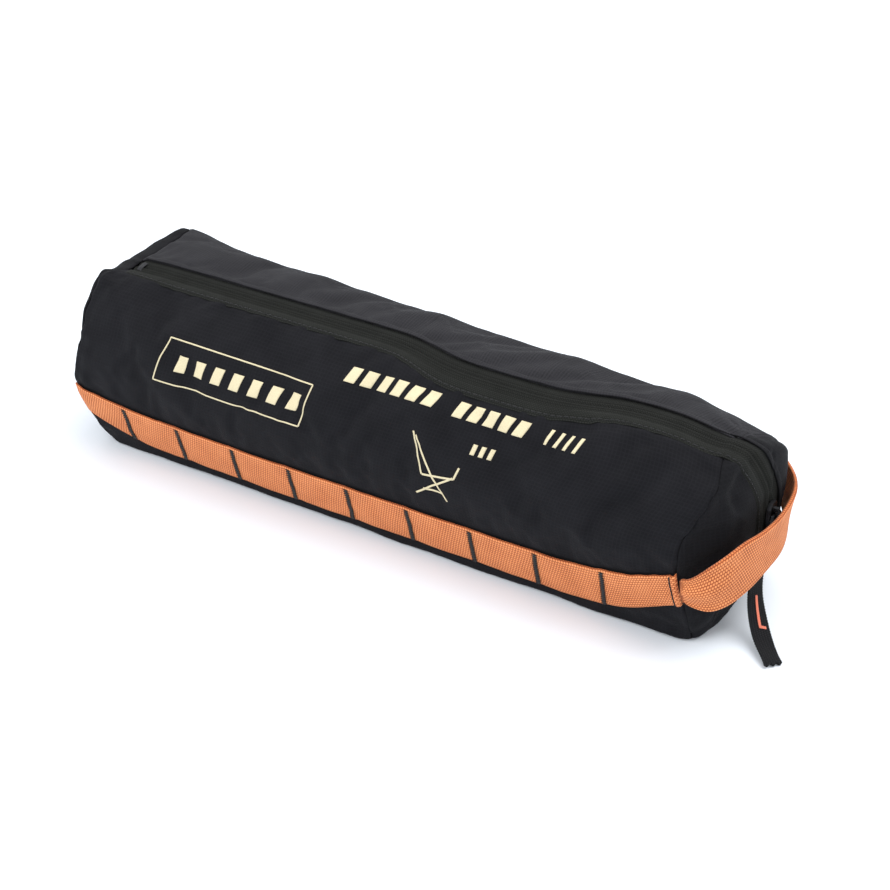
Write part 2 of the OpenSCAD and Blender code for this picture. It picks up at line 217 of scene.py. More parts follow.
def soft_folds(grid):
    """Long folds that the load inside gives the cloth before it is simulated."""
    x = grid[:, :, 0]
    t = np.broadcast_to(T_GRID, x.shape)
    drift = zip_drift(x)
    body = smooth((x - SL) / 30) * smooth((SR - x) / 30)
    top = smooth((t - 8.7 - drift) / 0.5) * smooth((11.6 - t) / 0.7)
    front = smooth((t - 3.4) / 0.6) * smooth((7.0 + drift - t) / 0.4)
    move = np.zeros_like(x)
    for cx, width, slant, depth in TOP_FOLDS:
        move += top * depth * bell(x - slant * (t - 9.8), cx, width)
    for cx, ct, wx, wt, slant, depth in FRONT_FOLDS:
        move += front * depth * bell(x + slant * (t - ct), cx, wx) * bell(t, ct, wt)
    sag = -2.2 * body * bell(x, 24, 26) * bell(t, 10.4, 0.7)
    sag -= 2.0 * body * bell(x, 94, 20) * bell(t, 10.2, 0.7)
    return grid + normals_of(grid) * (move * body + sag)[..., None]


def normals_of(grid):
    """Outward unit normals of a grid whose columns close round the section."""
    around = (np.roll(grid, -1, axis=1) - np.roll(grid, 1, axis=1)) / 2
    return unit(np.cross(np.gradient(grid, axis=0), around))


STEPS = 24
CLOTH = {
    "quality": 6, "mass": 0.15, "tension_stiffness": 12, "compression_stiffness": 12, "shear_stiffness": 6,
    "bending_stiffness": 0.35, "air_damping": 2, "vertex_group_mass": "hold", "pin_stiffness": 1,
    "use_pressure": True, "uniform_pressure_force": 1.8, "shrink_min": -0.012,
}


def simulate(grid):
    """Blender's cloth on the whole closed shell, with the seams, the base and the webbing's band held."""
    rows, cols = grid.shape[:2]
    mesh = bpy.data.meshes.new("shell")
    mesh.from_pydata((grid.reshape(-1, 3) / 1000).tolist(), [], grid_faces(rows, cols, close=True).tolist())
    shell = bpy.data.objects.new("shell", mesh)
    bpy.context.scene.collection.objects.link(shell)
    x, z = grid[:, :, 0], grid[:, :, 2]
    t = np.broadcast_to(T_GRID, x.shape)
    index = np.broadcast_to(np.arange(rows)[:, None], x.shape)
    hold = np.zeros(x.shape)
    seams = (index == N_CAP) | (index == rows - 1 - N_CAP)
    poles = (index < 3) | (index > rows - 4)
    hold[seams | poles | (z < 2.0)] = 1.0
    body = (index > N_CAP) & (index < rows - 1 - N_CAP)
    lift, drift = web_lift(x), zip_drift(x)
    hold[body & (t > 2.1 + lift) & (t < 3.4 + lift)] = 1.0
    hold[body & (t > 7.15 + drift) & (t < 8.8 + drift)] = 1.0
    hold[body & (t > 10.9) & (t < 11.1)] = 0.4
    group = shell.vertex_groups.new(name="hold")
    for n, w in enumerate(hold.ravel()):
        if w > 0:
            group.add([n], float(w), "REPLACE")
    cloth = shell.modifiers.new("cloth", "CLOTH")
    for key, value in CLOTH.items():
        setattr(cloth.settings, key, value)
    cloth.settings.effector_weights.gravity = 0
    cloth.collision_settings.use_collision = False
    cloth.point_cache.frame_start, cloth.point_cache.frame_end = 1, STEPS
    scene = bpy.context.scene
    for n in range(1, STEPS + 1):
        scene.frame_set(n)
    done = shell.evaluated_get(bpy.context.evaluated_depsgraph_get()).to_mesh()
    co = np.zeros(len(done.vertices) * 3)
    done.vertices.foreach_get("co", co)
    scene.frame_set(1)
    bpy.data.objects.remove(shell)
    bpy.data.meshes.remove(mesh)
    moved = co.reshape(rows, cols, 3) * 1000 - grid
    size = np.linalg.norm(moved, axis=2, keepdims=True)
    return grid + moved * np.minimum(1, 4.0 / np.maximum(size, 1e-9))


REST = resting()
GRID = soft_folds(REST)
GRID = simulate(GRID)
# The foot's hem is evened out along the bag, and the hinge line stays where the flap turns.
low_band = smooth((T_GRID + 0.2) / 0.6) * smooth((2.4 - T_GRID) / 0.6)
moved = GRID - REST
even = sum(np.roll(moved, k, axis=0) for k in range(-3, 4)) / 7
inner, body = slice(N_CAP + 4, -N_CAP - 4), slice(N_CAP, -N_CAP)
GRID[inner] += ((even - moved) * low_band[None, :, None])[inner]
hinge_free = 1 - bell(T_GRID, 11, 0.35)
GRID[body] = REST[body] + (GRID - REST)[body] * hinge_free[None, :, None]
GRID[:, :, 2] = np.maximum(GRID[:, :, 2], 0.02)
ROWS = len(GRID)
FIRST, LAST = N_CAP, ROWS - 1 - N_CAP


def grid_point(i, t):
    """Point of the simulated cloth at row i, which may be a fraction, and place t round the section."""
    i, t = np.broadcast_arrays(np.asarray(i, float), np.asarray(t, float))
    i0 = np.clip(np.floor(i).astype(int), 0, ROWS - 2)
    j = (t % CORNERS) * PER_CORNER
    j0 = np.floor(j).astype(int)
    wi, wj = blend_rows(i - i0), blend_rows(j - j0)
    out = 0
    for a in range(4):
        row = np.clip(i0 + a - 1, 0, ROWS - 1)
        for b in range(4):
            out = out + (wi[..., a] * wj[..., b])[..., None] * GRID[row, (j0 + b - 1) % N_AROUND]
    return out


def grid_normal(i, t):
    a = grid_point(i + 0.25, t) - grid_point(i - 0.25, t)
    b = grid_point(i, t + 0.04) - grid_point(i, t - 0.04)
    return unit(np.cross(a, b))


def skin(x, t, off=0.0):
    """Point of the body's cloth at x, its place before the simulation, and t, moved out by off."""
    i = FIRST + (np.asarray(x, float) - SL) / LENGTH * (LAST - FIRST)
    i, t, off = np.broadcast_arrays(i, np.asarray(t, float), np.asarray(off, float))
    return grid_point(i, t) + off[..., None] * grid_normal(i, t)


def nominal(x, t):
    """The place between the two end seams whose cloth lies at the true x."""
    x, t = np.broadcast_arrays(np.asarray(x, float), np.asarray(t, float))
    y, z = np.moveaxis(section(t, (x - SL) / LENGTH), -1, 0)
    a, b = left_face(y, z), right_face(y, z)
    return SL + (x - a) / (b - a) * LENGTH


ARC_T = np.linspace(0, CORNERS, 1701)
ARC = running(section(ARC_T, 0.5))


def arc_of(t):
    return np.interp(t, ARC_T, ARC)


def t_of(arc):
    return np.interp(arc, ARC, ARC_T)


# --- meshes


def add_mesh(name, points, faces, uv=None):
    mesh = bpy.data.meshes.new(name)
    metres = (np.asarray(points, float) / 1000).tolist()
    mesh.from_pydata(metres, [], [tuple(int(v) for v in f) for f in faces])
    mesh.polygons.foreach_set("use_smooth", [True] * len(mesh.polygons))
    if uv is not None:
        layer = mesh.uv_layers.new(name="cloth")
        corner = np.zeros(len(mesh.loops), int)
        mesh.loops.foreach_get("vertex_index", corner)
        layer.data.foreach_set("uv", np.asarray(uv, float)[corner].ravel())
    mesh.validate()
    obj = bpy.data.objects.new(name, mesh)
    bpy.context.scene.collection.objects.link(obj)
    return obj


def sheet_faces(rows, cols, start=0):
    """Faces of a closed sheet: an outer grid, an inner grid after it, and the rim between them."""
    total = rows * cols
    edge = [*range(cols), *(i * cols + cols - 1 for i in range(1, rows))]
    edge += [(rows - 1) * cols + j for j in range(cols - 2, -1, -1)]
    edge += [i * cols for i in range(rows - 2, 0, -1)]
    edge = [a + start for a in edge]
    rim = [(a, b, b + total, a + total) for a, b in zip(edge, edge[1:] + edge[:1])]
    return [*grid_faces(rows, cols, False, start), *grid_faces(rows, cols, True, start + total), *rim]


def rim_faces(rows, cols, row, flip):
    """Faces between the outer and inner grids of a closed ring, along one of its rows."""
    j = np.arange(cols)
    k = (j + 1) % cols
    quads = np.stack([j, k, k + rows * cols, j + rows * cols], -1) + row * cols
    return quads[:, ::-1] if flip else quads


def two_sided(name, outer, inner, uv, faces=None):
    """A sheet from its two grids of points. Without faces, it is closed along all four edges."""
    points = np.concatenate([outer.reshape(-1, 3), inner.reshape(-1, 3)])
    faces = sheet_faces(*outer.shape[:2]) if faces is None else faces
    return add_mesh(name, points, faces, np.concatenate([uv.reshape(-1, 2)] * 2))


def cloth_sheet(name, outer, uv, thick, inward):
    """Closed sheet: the outer grid of points, and the same moved inward by thick."""
    return two_sided(name, outer, outer + inward * thick, uv)


def grid_normals_open(grid):
    return unit(np.cross(np.gradient(grid, axis=0), np.gradient(grid, axis=1)))


def spaced(a, b, step, fine_at=(), fine=0.5, reach=3.0):
    """Places from a to b about step apart, and fine apart within reach of each place in fine_at."""
    out = [a]
    while out[-1] < b - 1e-6:
        near = any(abs(out[-1] - f) < reach for f in fine_at)
        out.append(out[-1] + (fine if near else step))
    out[-1] = b
    return np.array(out)


def panel(name, xs, arcs, relief, thick=0.9, shift=None):
    """Part of the body's cloth. arcs run round the section at drift 0, and relief(x, a) moves it outwards."""
    x, a = np.meshgrid(xs, arcs, indexing="ij")
    outer = skin(x, t_of(a if shift is None else shift(x, a)), relief(x, a))
    return cloth_sheet(name, outer, np.stack([x, a], -1), thick, -grid_normals_open(outer))


def ripple(v, seed, step):
    """Even, repeatable unevenness along a seam."""
    values = [noise.noise(Vector((float(q) / step, seed, 0.37))) for q in np.ravel(v)]
    return np.array(values).reshape(np.shape(v))


def shell_tree():
    """The whole cloth as a fine tree of faces, to lay strips on."""
    i = np.linspace(0, ROWS - 1, (ROWS - 1) * 4 + 1)
    t = np.linspace(0, CORNERS, N_AROUND * 2, endpoint=False)
    pts = grid_point(i[:, None], t[None, :])
    quads = grid_faces(len(i), len(t), close=True)
    return BVHTree.FromPolygons(pts.reshape(-1, 3).tolist(), quads.tolist())


TREE = shell_tree()


def lay(points, ways, offs):
    """Each point dropped along its way onto the cloth, and raised by its off."""
    flat_p, flat_w, flat_o = points.reshape(-1, 3), ways.reshape(-1, 3), np.ravel(offs)
    out = np.zeros_like(flat_p)
    for n in range(len(flat_p)):
        p, w = Vector(flat_p[n]), Vector(flat_w[n])
        hit = TREE.ray_cast(p + w * 12, -w, 40)[0]
        if hit is None:
            hit = TREE.find_nearest(p)[0]
        out[n] = np.array(hit) + flat_w[n] * flat_o[n]
    return out.reshape(points.shape)


# --- the zip's path over the top and down the end


def end_zip_y(z):
    return 4 - 14 * (np.maximum(0, np.asarray(z, float) - 55) / 50) ** 1.6


def resample(points, step):
    d = running(points)
    s = np.linspace(0, d[-1], max(2, int(round(d[-1] / step)) + 1))
    return np.stack([np.interp(s, d, points[:, k]) for k in range(3)], -1), s


def eased(values, width):
    """Moving average along axis 0, with the ends kept."""
    pad = np.concatenate([values[:1]] * width + [values] + [values[-1:]] * width)
    total = np.cumsum(np.concatenate([np.zeros_like(pad[:1]), pad]), axis=0)
    n = 2 * width + 1
    return (total[n:] - total[:-n]) / n


def zip_path():
    xs = np.arange(SL + 1.5, SR - 9, 4.0)
    top = skin(xs, 8 + zip_drift(xs))
    zs = np.array([99, 95, 90, 84, 77, 70, 63, 56, 50, 44.0])
    inward = Vector((-1, 0, 0))
    end = [TREE.ray_cast(Vector((SR + 60, y, z)), inward)[0] for y, z in zip(end_zip_y(zs), zs)]
    path, _ = resample(np.concatenate([top, np.array(end)]), 0.3)
    path = eased(path, 18)
    path, s = resample(path, 0.3125)
    normals = eased(np.array([TREE.find_nearest(Vector(p))[1] for p in path]), 26)
    ahead = unit(np.gradient(path, axis=0))
    normals = unit(normals - ahead * np.sum(ahead * normals, axis=1, keepdims=True))
    return path, s, normals, np.cross(normals, ahead)


ZIP, ZIP_S, ZIP_N, ZIP_BACK = zip_path()
SEAM_AT = int(np.argmin(np.abs(ZIP[:, 0] - (SR - 0.5))))
MIDDLE_AT = int(np.argmin(np.abs(ZIP[:, 0] - (-14))))


def strip(name, n0, n1, every, sides, relief, thick=0.6):
    """Strip along the zip's path, samples n0 to n1. sides run towards the back, relief(s, d) raises it."""
    idx = np.arange(n0, n1 + 1, every)
    d = np.asarray(sides, float)
    base = ZIP[idx][:, None, :] + ZIP_BACK[idx][:, None, :] * d[None, :, None]
    ways = np.broadcast_to(ZIP_N[idx][:, None, :], base.shape)
    s, dd = np.meshgrid(ZIP_S[idx], d, indexing="ij")
    outer = lay(base, ways, relief(s, dd))
    return cloth_sheet(name, outer, np.stack([s, dd], -1), thick, -ways)


# --- materials


class Nodes:
    """Small helper that wires a material's nodes."""

    def __init__(self, name):
        self.mat = bpy.data.materials.new(name)
        self.mat.use_nodes = True
        self.tree = self.mat.node_tree
        self.bsdf = self.tree.nodes["Principled BSDF"]

    def node(self, kind, **values):
        n = self.tree.nodes.new(kind)
        for key, v in values.items():
            setattr(n, key, v)
        return n

    def put(self, value, socket):
        if isinstance(value, bpy.types.NodeSocket):
            self.tree.links.new(value, socket)
        elif value is not None:
            socket.default_value = value

    def math(self, op, *values):
        n = self.node("ShaderNodeMath", operation=op)
        for value, socket in zip(values, n.inputs):
            self.put(value, socket)
        return n.outputs[0]

    def mul(self, a, b):
        return self.math("MULTIPLY", a, b)

    def add(self, total, *terms):
        for term in terms:
            total = self.math("ADD", total, term)
        return total

    def wave(self, value, pace, shape="SINE"):
        return self.math("ABSOLUTE", self.math(shape, self.mul(value, pace)))

    def coords(self, scale=1.0, source="uv"):
        """u and v in threads: the cloth map is in millimetres, and Object coordinates are in metres."""
        if source == "uv":
            vec = self.node("ShaderNodeUVMap", uv_map="cloth").outputs[0]
        else:
            vec = self.node("ShaderNodeTexCoord").outputs["Object"]
        m = self.node("ShaderNodeVectorMath", operation="SCALE")
        self.put(vec, m.inputs[0])
        m.inputs["Scale"].default_value = scale
        return m.outputs[0]

    def split(self, vec):
        n = self.node("ShaderNodeSeparateXYZ")
        self.put(vec, n.inputs[0])
        return n.outputs

    def noise(self, vec, scale, detail=3.0, rough=0.55):
        n = self.node("ShaderNodeTexNoise")
        self.put(vec, n.inputs["Vector"])
        n.inputs["Scale"].default_value = scale
        n.inputs["Detail"].default_value = detail
        n.inputs["Roughness"].default_value = rough
        return n.outputs["Fac"]

    def ramp(self, fac, stops):
        n = self.node("ShaderNodeValToRGB")
        self.put(fac, n.inputs[0])
        e = n.color_ramp.elements
        while len(e) < len(stops):
            e.new(0.5)
        for item, (at, value) in zip(e, stops):
            item.position = at
            item.color = (*value, 1) if hasattr(value, "__len__") else (value, value, value, 1)
        return n.outputs[0]

    def bump(self, height, distance, strength=1.0):
        n = self.node("ShaderNodeBump")
        self.put(height, n.inputs["Height"])
        n.inputs["Distance"].default_value = distance
        n.inputs["Strength"].default_value = strength
        self.tree.links.new(n.outputs[0], self.bsdf.inputs["Normal"])

    def finish(self, colour=None, rough=None, **plain):
        self.put(colour, self.bsdf.inputs["Base Color"])
        self.put(rough, self.bsdf.inputs["Roughness"])
        for key, v in plain.items():
            self.bsdf.inputs[key.replace("_", " ")].default_value = v
        return self.mat


def plain_weave(n, vec):
    """Height of a plain weave, one thread to a unit: threads pass over and under by turns."""
    u, v, _ = n.split(vec)
    turns = n.add(n.math("FLOOR", u), n.math("FLOOR", n.add(v, 1000.0)))
    odd = n.math("ABSOLUTE", n.math("MODULO", turns, 2.0))
    over = n.mul(n.wave(u, math.pi), n.math("SUBTRACT", 1.0, odd))
    return n.add(over, n.mul(n.wave(v, math.pi), odd))


def ripstop(name, dark, light, rough=0.7, rib=0.0):
    """Matt nylon: a fine plain weave with a thicker thread every few, faint slubs, and raised threads painted
    lighter as a painted highlight for the cloth's sheen.
    """
    threads, cell = 2.6, 5
    n = Nodes(name)
    uv = n.coords()
    u, v, _ = n.split(uv)
    lines = [n.math("POWER", n.wave(w, math.pi * threads / cell, "COSINE"), 14.0) for w in (u, v)]
    grid = n.mul(n.math("MAXIMUM", *lines), 0.75)
    slub = n.noise(uv, 1.1, 2.0)
    height = n.add(n.mul(plain_weave(n, n.coords(threads)), 0.6), n.mul(grid, 0.55),
                   n.mul(n.wave(u, math.pi / 1.5), rib), n.mul(slub, 0.35))
    # Painted highlight: the colour grows lighter where the weave stands high, under a faint random cloud.
    shade = n.add(n.mul(height, 0.42), n.mul(n.noise(uv, 0.05), 0.5))
    n.bump(height, 0.00012, 0.9)
    return n.finish(n.ramp(shade, [(0.12, dark), (0.95, light)]), n.add(rough, n.mul(slub, 0.16)),
                    Sheen_Weight=0.02, Sheen_Roughness=0.5, Specular_IOR_Level=0.07)


def webbing(name, low, mid, high, across=1.55, along=1.45, rough=0.72, bump=0.00035, gloss=0.2):
    """Coarse woven tape: columns of raised picks with darker holes between them."""
    n = Nodes(name)
    uv = n.coords()
    u, v, _ = n.split(uv)
    cu, cv = n.mul(u, 1 / along), n.mul(v, 1 / across)
    row = n.math("MODULO", n.math("ABSOLUTE", n.math("FLOOR", n.add(cv, 400.0))), 2.0)
    shifted = n.add(cu, n.mul(row, 0.5))
    pick = n.math("POWER", n.mul(n.wave(shifted, math.pi), n.wave(cv, math.pi)), 0.6)
    fuzz = n.noise(uv, 2.3)
    cloud = n.math("SUBTRACT", n.noise(uv, 0.07, 2.0), 0.5)
    shade = n.add(n.mul(pick, 0.72), n.mul(fuzz, 0.34), n.mul(cloud, 0.25))
    n.bump(n.add(pick, n.mul(fuzz, 0.3)), bump, 0.9)
    return n.finish(n.ramp(shade, [(0.22, low), (0.52, mid), (0.95, high)]), n.add(rough, n.mul(fuzz, 0.15)),
                    Sheen_Weight=gloss / 4, Sheen_Roughness=0.5, Specular_IOR_Level=gloss)


def thread(name, low, high, twist=1.1, rough=0.55):
    """Twisted thread: slanting plies under a little fuzz."""
    n = Nodes(name)
    vec = n.coords(1000.0, "object")
    fuzz = n.noise(vec, 1.7)
    shade = n.add(n.mul(n.wave(n.add(*n.split(vec)), math.pi * twist), 0.6), n.mul(fuzz, 0.4))
    n.bump(shade, 0.00015, 0.8)
    return n.finish(n.ramp(shade, [(0.15, low), (0.9, high)]), n.add(rough, n.mul(fuzz, 0.2)),
                    Sheen_Weight=0.1, Specular_IOR_Level=0.3)


def hard(name, low, high, scale, rough=0.4, metallic=0.0, bump=0.00004, stretch=(1, 1, 1), scuff=None):
    """Moulded or drawn surface: fine grain or draw lines, cloudy tone and lighter scuffs."""
    n = Nodes(name)
    vec = n.coords(1000.0, "object")
    m = n.node("ShaderNodeMapping")
    n.put(vec, m.inputs["Vector"])
    m.inputs["Scale"].default_value = stretch
    grain = n.noise(m.outputs[0], scale, 4.0, 0.6)
    shade = n.add(n.mul(grain, 0.55), n.mul(n.noise(vec, 0.06), 0.45))
    stops = [(0.3, low), (0.7, high)] + ([(0.85, scuff)] if scuff else [])
    n.bump(grain, bump, 0.6)
    return n.finish(n.ramp(shade, stops), n.add(rough - 0.1, n.mul(shade, 0.25)), Metallic=metallic)


COIL_PITCH = 1.25
FRONT = ripstop("fabric_black", (0.0022, 0.0022, 0.0030), (0.0170, 0.0168, 0.0200))
# The ends' cloth: the front's black ripstop painted darker, as painted shade on the end panels.
ENDS_PAINTED_SHADE = ripstop("fabric_end", (0.0020, 0.0020, 0.0026), (0.0145, 0.0143, 0.0168))
# The top's cloth: the front's black ripstop painted lighter, as painted light from above on the top panel.
TOP_PAINTED_LIGHT = ripstop("fabric_top", (0.0055, 0.0054, 0.0065), (0.0300, 0.0292, 0.0330), rib=0.75, rough=0.62)
TAPE = webbing("zip_tape", (0.0045, 0.0047, 0.0042), (0.0130, 0.0136, 0.0122), (0.0270, 0.0282, 0.0255),
               0.8, COIL_PITCH, 0.68, 0.00012, 0.06)
COIL = hard("zip_coil", (0.006, 0.006, 0.006), (0.013, 0.013, 0.013), 1.2, 0.42)
ORANGE = webbing("webbing_orange", (0.13, 0.020, 0.007), (0.63, 0.178, 0.056), (0.86, 0.36, 0.150))
STRAP = webbing("strap_black", (0.003, 0.003, 0.0035), (0.009, 0.009, 0.010), (0.024, 0.024, 0.027),
                1.3, 1.0, 0.7, 0.0003, 0.1)
BLACK_THREAD = thread("thread_black", (0.003, 0.003, 0.0035), (0.010, 0.010, 0.011))
SEAM_THREAD = thread("thread_seam", (0.004, 0.004, 0.005), (0.013, 0.013, 0.015))
ORANGE_THREAD = thread("thread_orange", (0.27, 0.06, 0.015), (0.57, 0.18, 0.065))
CORAL = thread("tack_coral", (0.55, 0.09, 0.05), (0.93, 0.30, 0.19))
METAL = hard("slider_metal", (0.02, 0.02, 0.022), (0.05, 0.05, 0.054), 2.0, 0.38, 0.85, 0.00003,
             scuff=(0.2, 0.2, 0.21))
PULL_METAL = hard("pull_metal", (0.03, 0.03, 0.033), (0.07, 0.07, 0.075), 2.5, 0.35, 0.9, 0.00003,
                  scuff=(0.3, 0.3, 0.31))
ALUMINIUM = hard("pole_aluminium", (0.42, 0.43, 0.46), (0.66, 0.68, 0.71), 1.6, 0.34, 1.0, 0.00002,
                 (0.08, 1, 1))
HUB = hard("hub_plastic", (0.016, 0.016, 0.018), (0.034, 0.034, 0.037), 3.0, 0.5, 0.0, 0.00006,
           scuff=(0.07, 0.07, 0.075))
RUBBER = hard("foot_rubber", (0.010, 0.010, 0.011), (0.024, 0.024, 0.026), 2.4, 0.75, 0.0, 0.0001)
TIP = hard("tip_plastic", (0.55, 0.12, 0.035), (0.75, 0.22, 0.075), 2.2, 0.36, 0.0, 0.00003)
SHOCK = thread("shock_cord", (0.30, 0.05, 0.015), (0.72, 0.20, 0.07), 0.7, 0.6)
THREAD_NET = thread("net_thread", (0.012, 0.012, 0.014), (0.06, 0.062, 0.07))
SEAT = ripstop("seat_fabric", (0.012, 0.0125, 0.016), (0.034, 0.035, 0.042), rough=0.66)
ELASTIC = webbing("band_elastic", (0.28, 0.05, 0.015), (0.62, 0.15, 0.05), (0.85, 0.30, 0.13), 1.1, 1.6, 0.7,
                  0.0003)


def print_ink():
    """Cream screen print that lets a little of the weave through."""
    n = Nodes("cream_print")
    weave = plain_weave(n, n.coords(2.6))
    fleck = n.noise(n.coords(), 1.6)
    shade = n.add(n.mul(weave, 0.4), n.mul(fleck, 0.6))
    n.bump(weave, 0.0001, 0.6)
    return n.finish(n.ramp(shade, [(0.2, (0.54, 0.46, 0.28)), (0.75, (0.76, 0.67, 0.45))]),
                    n.add(0.6, n.mul(fleck, 0.2)), Specular_IOR_Level=0.25)


def mesh_cloth():
    """Open mesh: the holes are dark, and real cords stand between them."""
    n = Nodes("seat_mesh")
    fuzz = n.noise(n.coords(), 1.4)
    shade = n.add(n.mul(plain_weave(n, n.coords(0.45)), 0.7), n.mul(fuzz, 0.3))
    n.bump(shade, 0.0005, 0.9)
    return n.finish(n.ramp(shade, [(0.2, (0.006, 0.006, 0.007)), (0.8, (0.045, 0.046, 0.052))]),
                    n.add(0.6, n.mul(fuzz, 0.2)), Sheen_Weight=0.1)


INK = print_ink()
MESH = mesh_cloth()


def dress(obj, material, body, stands_for=()):
    obj.data.materials.clear()
    obj.data.materials.append(material)
    if body:
        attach(obj, body)
    if stands_for:
        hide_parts(*stands_for)


# --- bag panels

A_FRONT, A_HEM, A_FOLD, A_HINGE, A_BACK, A_END = (arc_of(t) for t in (1.0, 7.5, 8.6, 11.0, 16.0, 17.0))
ARC_PER_DRIFT = 13.3


def seam_dip(x, depth=1.1, width=1.7):
    return -depth * (bell(x, SL, width) + bell(x, SR, width))


def seam_pucker(x, a, seed):
    """Small gathers that run away from the end seams and fade into the cloth."""
    left = np.exp(-(x - SL) / 13.0) * ripple(a, seed, 6.5)
    right = np.exp(-(SR - x) / 15.0) * ripple(a + 300, seed, 7.5)
    return 1.5 * (left + right)


def front_shift(x, a):
    return a + zip_drift(x) * ARC_PER_DRIFT * smooth((a - arc_of(5.6)) / (A_HEM - arc_of(5.6)))


def stitch_gathers(x, d, seed):
    """Gathers that hang from a stitched line at distance d."""
    d = np.abs(d)
    return 0.9 * ripple(x + 3 * ripple(x, seed + 4.0, 21.0), seed, 7.0) * np.exp(-d / 9.0) * smooth(d / 3)


def front_relief(x, a):
    t = t_of(a)
    off = seam_dip(x) + seam_pucker(x, a, 2.0) * smooth((t - 1.2) / 0.4)
    off += stitch_gathers(x, np.maximum(0, arc_of(7.25) - a), 5.0)
    band = t - web_lift(x)
    off -= 0.5 * np.exp(-(np.abs((band - 2.75) / 0.6) ** 6))
    off += 0.8 * ripple(x, 9.0, 24.0) * bell(band, 3.7, 0.35)
    between = smooth((x - SL) / 9) * smooth((SR - x) / 9)
    off += (2.6 + 1.2 * ripple(x, 61.0, 30.0)) * bell(t, 1.7, 0.32) * between
    return off * smooth((t - 0.98) / 0.05)


def base_relief(x, a):
    return 0 * x


def back_relief(x, a):
    return seam_dip(x) + seam_pucker(x, a, 12.0) * smooth((A_BACK - a) / 10) * smooth((a - A_HINGE) / 10)


XS_FINE = spaced(SL, SR, 1.6, (SL, SR), 0.6, 6.0)
XS_BASE = spaced(SL, SR, 4.0, (SL, SR), 1.0, 5.0)
for part, xs, arcs, relief, shift in (
    ("front", XS_FINE, spaced(A_FRONT, A_HEM, 1.7), front_relief, front_shift),
    ("base", XS_BASE, spaced(A_BACK, A_END + A_FRONT, 3.0), base_relief, None),
    ("back", XS_FINE, spaced(A_HINGE, A_BACK, 2.0), back_relief, None),
):
    cloth = panel(f"bag_{part}", xs, arcs, relief, shift=shift)
    dress(cloth, FRONT, "bag", [f"{part}_panel"])


def end_cap(side):
    """End panel: rings from its seam to a small hub in its middle, drawn in along the seam."""
    right = side == "right"
    rows = np.linspace(LAST, ROWS - 1, 48) if right else np.linspace(FIRST, 0, 48)
    i, t = np.meshgrid(rows, np.linspace(0, CORNERS, N_AROUND * 2, endpoint=False), indexing="ij")
    normal = grid_normal(i, t)
    inset = (1 - np.linspace(1, CAP_HUB, 48)[:, None] + 0 * t) * 50
    dip = -1.1 * bell(inset, 0, 1.7)
    wrinkle = 1.3 * np.exp(-inset / 12.0) * ripple(t * 20, 20.0 if right else 26.0, 9.0)
    outer = grid_point(i, t) + (dip + wrinkle)[..., None] * normal
    inner = outer - normal * 0.9
    rows_n, cols = t.shape
    total = rows_n * cols
    quads = grid_faces(rows_n, cols, not right, close=True)
    hub = np.arange(total - cols, total)[:: -1 if right else 1]
    faces = [*quads, *(quads[:, ::-1] + total), *rim_faces(rows_n, cols, 0, not right)]
    faces += [hub, hub[::-1] + total]
    points = np.concatenate([outer.reshape(-1, 3), inner.reshape(-1, 3)])
    cloth = add_mesh(f"bag_end_{side}", points, faces, points[:, 1:3])
    dress(cloth, ENDS_PAINTED_SHADE, "bag", [f"{side}_end_panel"])


end_cap("right")
end_cap("left")

# --- top panel behind the zip

D_FOLD = 7.4


def top_shift(x, a):
    """The panel's front edge follows the zip, and its back edge stays on the hinge."""
    share = 1 - smooth((a - arc_of(8.55)) / (A_HINGE - arc_of(8.55)))
    return a + zip_drift(x) * ARC_PER_DRIFT * share


def top_relief(x, a):
    off = 0.5 + seam_pucker(x, a, 31.0) * 0.8 + stitch_gathers(x, a - A_FOLD, 35.0) * 0.8
    return off * smooth((A_HINGE - a) / 2.5) + seam_dip(x, 1.4)


def top_half(name, x0, x1):
    xs = XS_FINE[(XS_FINE > x0 + 0.01) & (XS_FINE < x1 - 0.01)]
    return panel(name, np.array([x0, *xs, x1]), spaced(A_FOLD, A_HINGE, 1.5), top_relief, shift=top_shift)


def bead(s, d):
    """Rolled edge: a bead that starts under the zip's shadow gap and dies into the panel."""
    u = (d - D_FOLD) / 3.4
    return 0.35 + 1.25 * np.sqrt(np.clip(1 - (2 * u - 0.75) ** 2 / 1.6, 0, 1)) + 0.25 * ripple(s, 40.0, 9.0)


BEAD_D = D_FOLD + np.array([0, 0.15, 0.45, 0.9, 1.5, 2.2, 2.9, 3.4])
END_N = len(ZIP) - 1
HEM_END = END_N - 20

# --- zip tapes, coils and topstitching


def tape_relief(s, d):
    """Woven tape over the coil: a low ridge beside the centre, cut by fine ribs."""
    e = np.abs(d)
    turn = np.cos(2 * math.pi * s / COIL_PITCH)
    return -0.45 + 0.75 * bell(e, 2.4, 1.7) * (0.62 + 0.38 * turn) + 0.12 * turn * smooth((5.5 - e) / 2)


TAPE_D = np.array([0.22, 0.5, 0.9, 1.3, 1.8, 2.4, 3.0, 3.6, 4.2, 5.0, 6.0, 7.2, 8.2])


def end_tape_relief(s, d):
    return tape_relief(s, d) + 0.8 * smooth((s - ZIP_S[SEAM_AT]) / 12)


STITCH_D, STITCH_PITCH = -10.4, 3.2


def hem_relief(s, d):
    """Sewn margin of the tape, flush with the panel and drawn in a little at each stitch."""
    u = smooth((d + 11.6) / 1.2)
    groove = -0.4 * bell(d, STITCH_D, 0.6) * (0.6 + 0.4 * np.cos(2 * math.pi * s / STITCH_PITCH))
    return 0.1 + 0.55 * u + groove + 0.12 * u * ripple(s, 50.0, 5.0)


HEM_D = (-12.0, -11.6, -11.2, -10.9, -10.65, -10.4, -10.15, -9.9, -9.5, -9.0, -8.4, -7.8, -7.2, -6.6)


